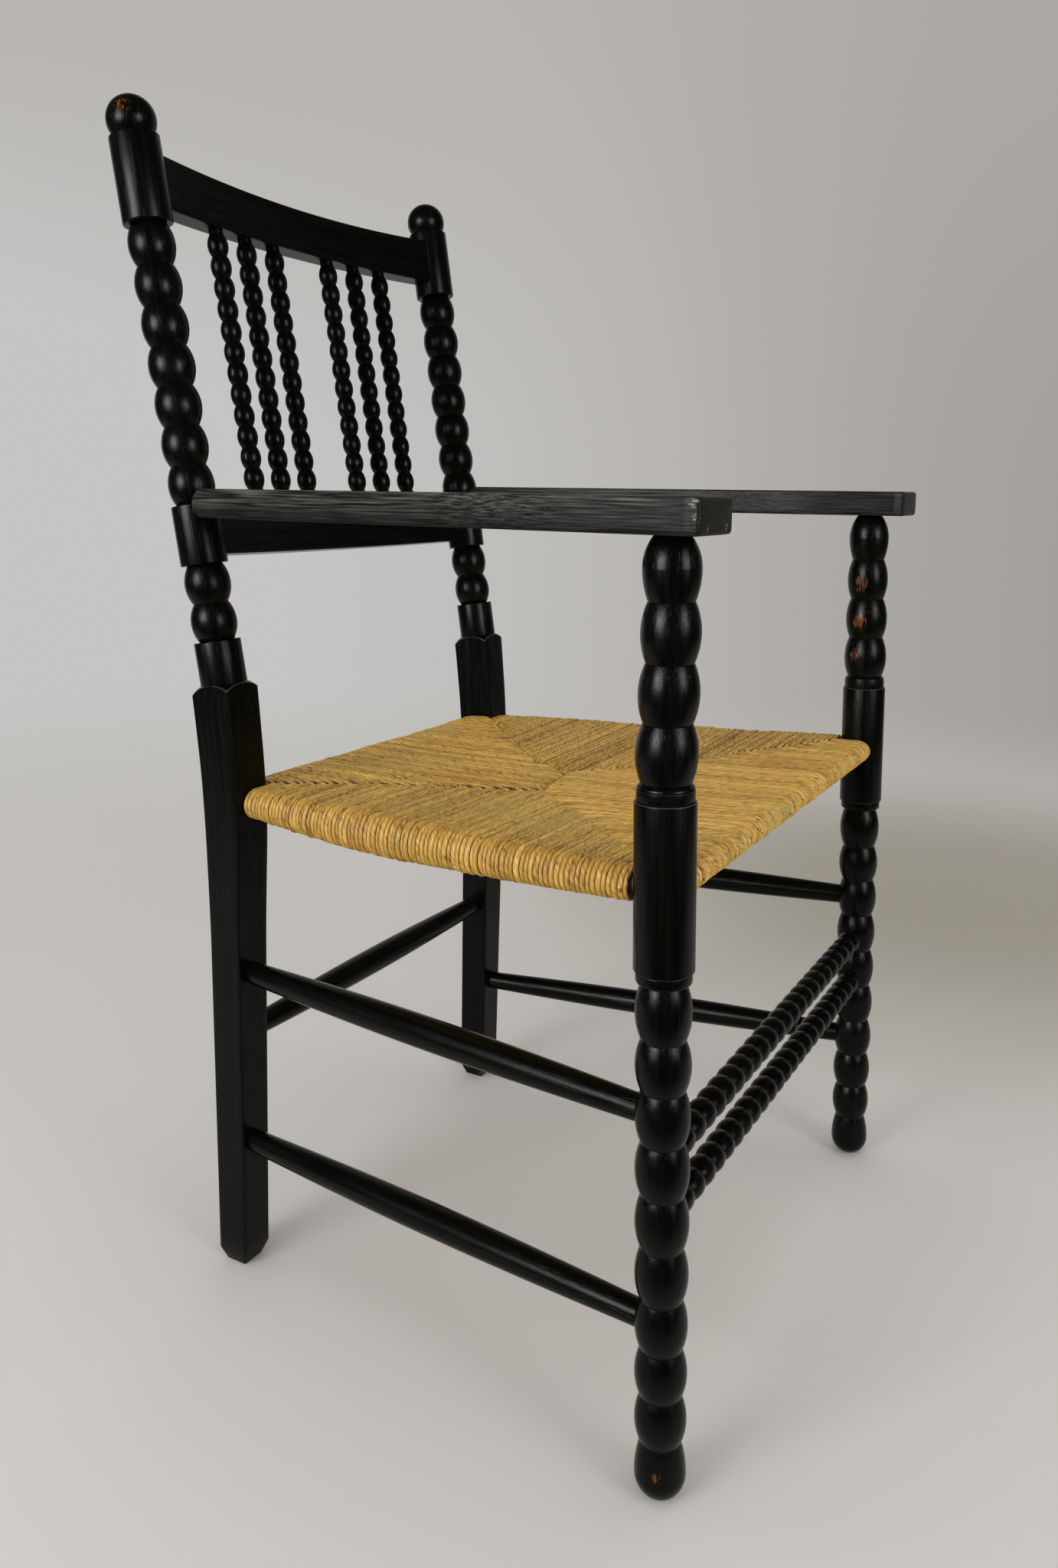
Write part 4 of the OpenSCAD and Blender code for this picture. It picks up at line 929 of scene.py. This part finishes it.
studio = {
    "floor": (0.60, 0.583, 0.562), "floorShade": (0.36, 0.335, 0.29),
    "shadeAt": (1.20, -0.20, 0), "shadeFades": (1.05, 0.20),   # metres: a painted shadow on the floor
    "floorFades": (1.0, 3.2), "paperEnds": (0.40, 0.80),   # all round, and towards the camera
    "leftward": (-0.488, 0.873, 0.0), "forward": (0.861, 0.481, -0.165),
    "nearward": (-0.873, -0.488, 0),
    "backdropDark": (0.36, 0.335, 0.31), "backdropLight": (0.565, 0.555, 0.545),
    "backdropPlain": (0.53, 0.515, 0.495), "unlit": (0.045, 0.045, 0.042), "ambient": 0.79,
    "lampDistance": 2.3, "lampHeight": 1.15, "lampAim": 0.45,   # metres
    "lamps": {   # sheen: the power of a twin that adds to the highlights alone
        "lampLeft": {"bearing": (-0.967, 0.255), "size": (1.0, 0.9), "power": 24, "sheen": 150},
        "lampRight": {"bearing": (-0.289, -0.957), "size": (0.8, 0.9), "power": 12, "sheen": 75},
    },
}


def makeFloor():
    # a flat disc, radius * (cos, sin), that fades out with distance, so that no horizon shows
    spokes = 96
    turn = np.arange(spokes) * 2 * pi / spokes
    radius = np.array([0.02, 0.4, 0.9, 1.6, 2.6, 4.0, 6.0])[:, None]
    grid = np.stack([radius * np.cos(turn), radius * np.sin(turn), 0 * radius * turn], -1)
    i, j = np.meshgrid(np.arange(len(radius) - 1), np.arange(spokes), indexing="ij")
    k, inner, outer = (j + 1) % spokes, i * spokes, (i + 1) * spokes
    faces = np.stack([inner + j, outer + j, outer + k, inner + k], -1).reshape(-1, 4)
    mesh = bpy.data.meshes.new("floor")
    mesh.from_pydata(grid.reshape(-1, 3), [], faces.tolist() + [list(range(spokes))])
    material, g = newMaterial("paleFloor")
    place = g.place()
    away = g.near(place, (0, 0, 0))
    # painted shadow: a darker patch on the floor round shadeAt
    shaded = g.near(place, studio["shadeAt"]).soft(*studio["shadeFades"]) * 0.95
    colour = g.mix(shaded, studio["floor"], studio["floorShade"])
    paint = g.add("BsdfDiffuse", {"Color": colour})
    clear = g.add("BsdfTransparent")
    ahead = g.dot(place, studio["nearward"])
    gone = away.soft(*studio["floorFades"]).run("MAXIMUM", ahead.soft(*studio["paperEnds"]))
    blend = g.add("MixShader", [gone, paint, clear])
    g.add("OutputMaterial", {"Surface": blend})
    mesh.materials.append(material)
    floor = newObject("floor", mesh)


def makeWorld():
    world = bpy.data.worlds.new("studioWorld")
    world.use_nodes = True
    g = Graph(world.node_tree)
    seen, gloss, through = [g.add("LightPath", (), f"Is {kind} Ray")
                            for kind in ("Camera", "Glossy", "Transmission")]
    toward = g.add("TexCoord", (), "Generated")   # the direction looked in
    leftward, forward = g.dot(toward, studio["leftward"]), g.dot(toward, studio["forward"])
    # painted light and shade on the backdrop: lighter to the left near the horizon, darker to the
    # right
    level = g.split(toward, 2).soft(0.38, 0.0)
    tone = (leftward * 1.1 + 0.25) * level + 0.53 - leftward.soft(0.05, -0.35) * 0.28
    paint = g.mix(tone, studio["backdropDark"], studio["backdropLight"])
    around = g.mix(gloss, studio["backdropPlain"], studio["unlit"])   # gloss meets an unlit room
    paint = g.mix(forward.soft(0.80, 0.35), paint, around)
    backdrop = g.add("Background", {"Color": paint, "Strength": 1.0})
    ambient = g.add("Background", {"Color": (1, 0.99, 0.97, 1), "Strength": studio["ambient"]})
    shown = (seen + gloss + through).run("MINIMUM", 1)
    mixed = g.add("MixShader", [shown, ambient, backdrop])
    g.add("OutputWorld", {"Surface": mixed})
    bpy.context.scene.world = world


def makeLamps():
    for name, p in studio["lamps"].items():
        for kind, power in (("", p["power"]), ("Sheen", p["sheen"])):
            light = bpy.data.lights.new(name + kind, "AREA")
            light.shape, (light.size, light.size_y), light.energy = "RECTANGLE", p["size"], power
            lamp = newObject(name + kind, light)
            x, y = [k * studio["lampDistance"] for k in p["bearing"]]
            lamp.location = (x, y, studio["lampHeight"])
            lamp.rotation_mode = "QUATERNION"
            aim = Vector((0, 0, studio["lampAim"]))
            lamp.rotation_quaternion = (lamp.location - aim).to_track_quat("Z", "Y")
            lamp.visible_camera, lamp.visible_diffuse = False, kind == ""


photoCamera = {   # worked out from the photo: pixels of the full frame, mm and degrees
    "picture": (1382, 2048), "focal": 1560, "centreHeight": 900,
    "place": (-933.58, -269.25, 684.88), "yaw": 60.79, "down": 9.51, "roll": 0.69,
}


def makeCamera():
    p = photoCamera
    yaw, down, roll = radians(p["yaw"]), radians(p["down"]), radians(p["roll"])
    forward = Vector((sin(yaw) * cos(down), cos(yaw) * cos(down), -sin(down)))
    level = Vector((cos(yaw), -sin(yaw), 0))
    upright = level.cross(forward)
    right = level * cos(roll) + upright * sin(roll)
    upward = upright * cos(roll) - level * sin(roll)
    data = bpy.data.cameras.new("photoCamera")
    data.sensor_width = 36
    data.lens = p["focal"] / p["picture"][1] * 36   # the long side spans the sensor's width
    data.shift_y = (p["centreHeight"] - p["picture"][1] / 2) / p["picture"][1]
    camera = newObject("photoCamera", data)
    camera.matrix_world = Matrix.Translation(Vector(toFrame(p["place"]))) @ Matrix(
        (right, upward, -forward)).transposed().to_4x4()
    bpy.context.scene.camera = camera


makeFloor()
makeWorld()
makeLamps()
makeCamera()
bpy.context.scene.view_settings.view_transform = "Standard"
print("studio made")
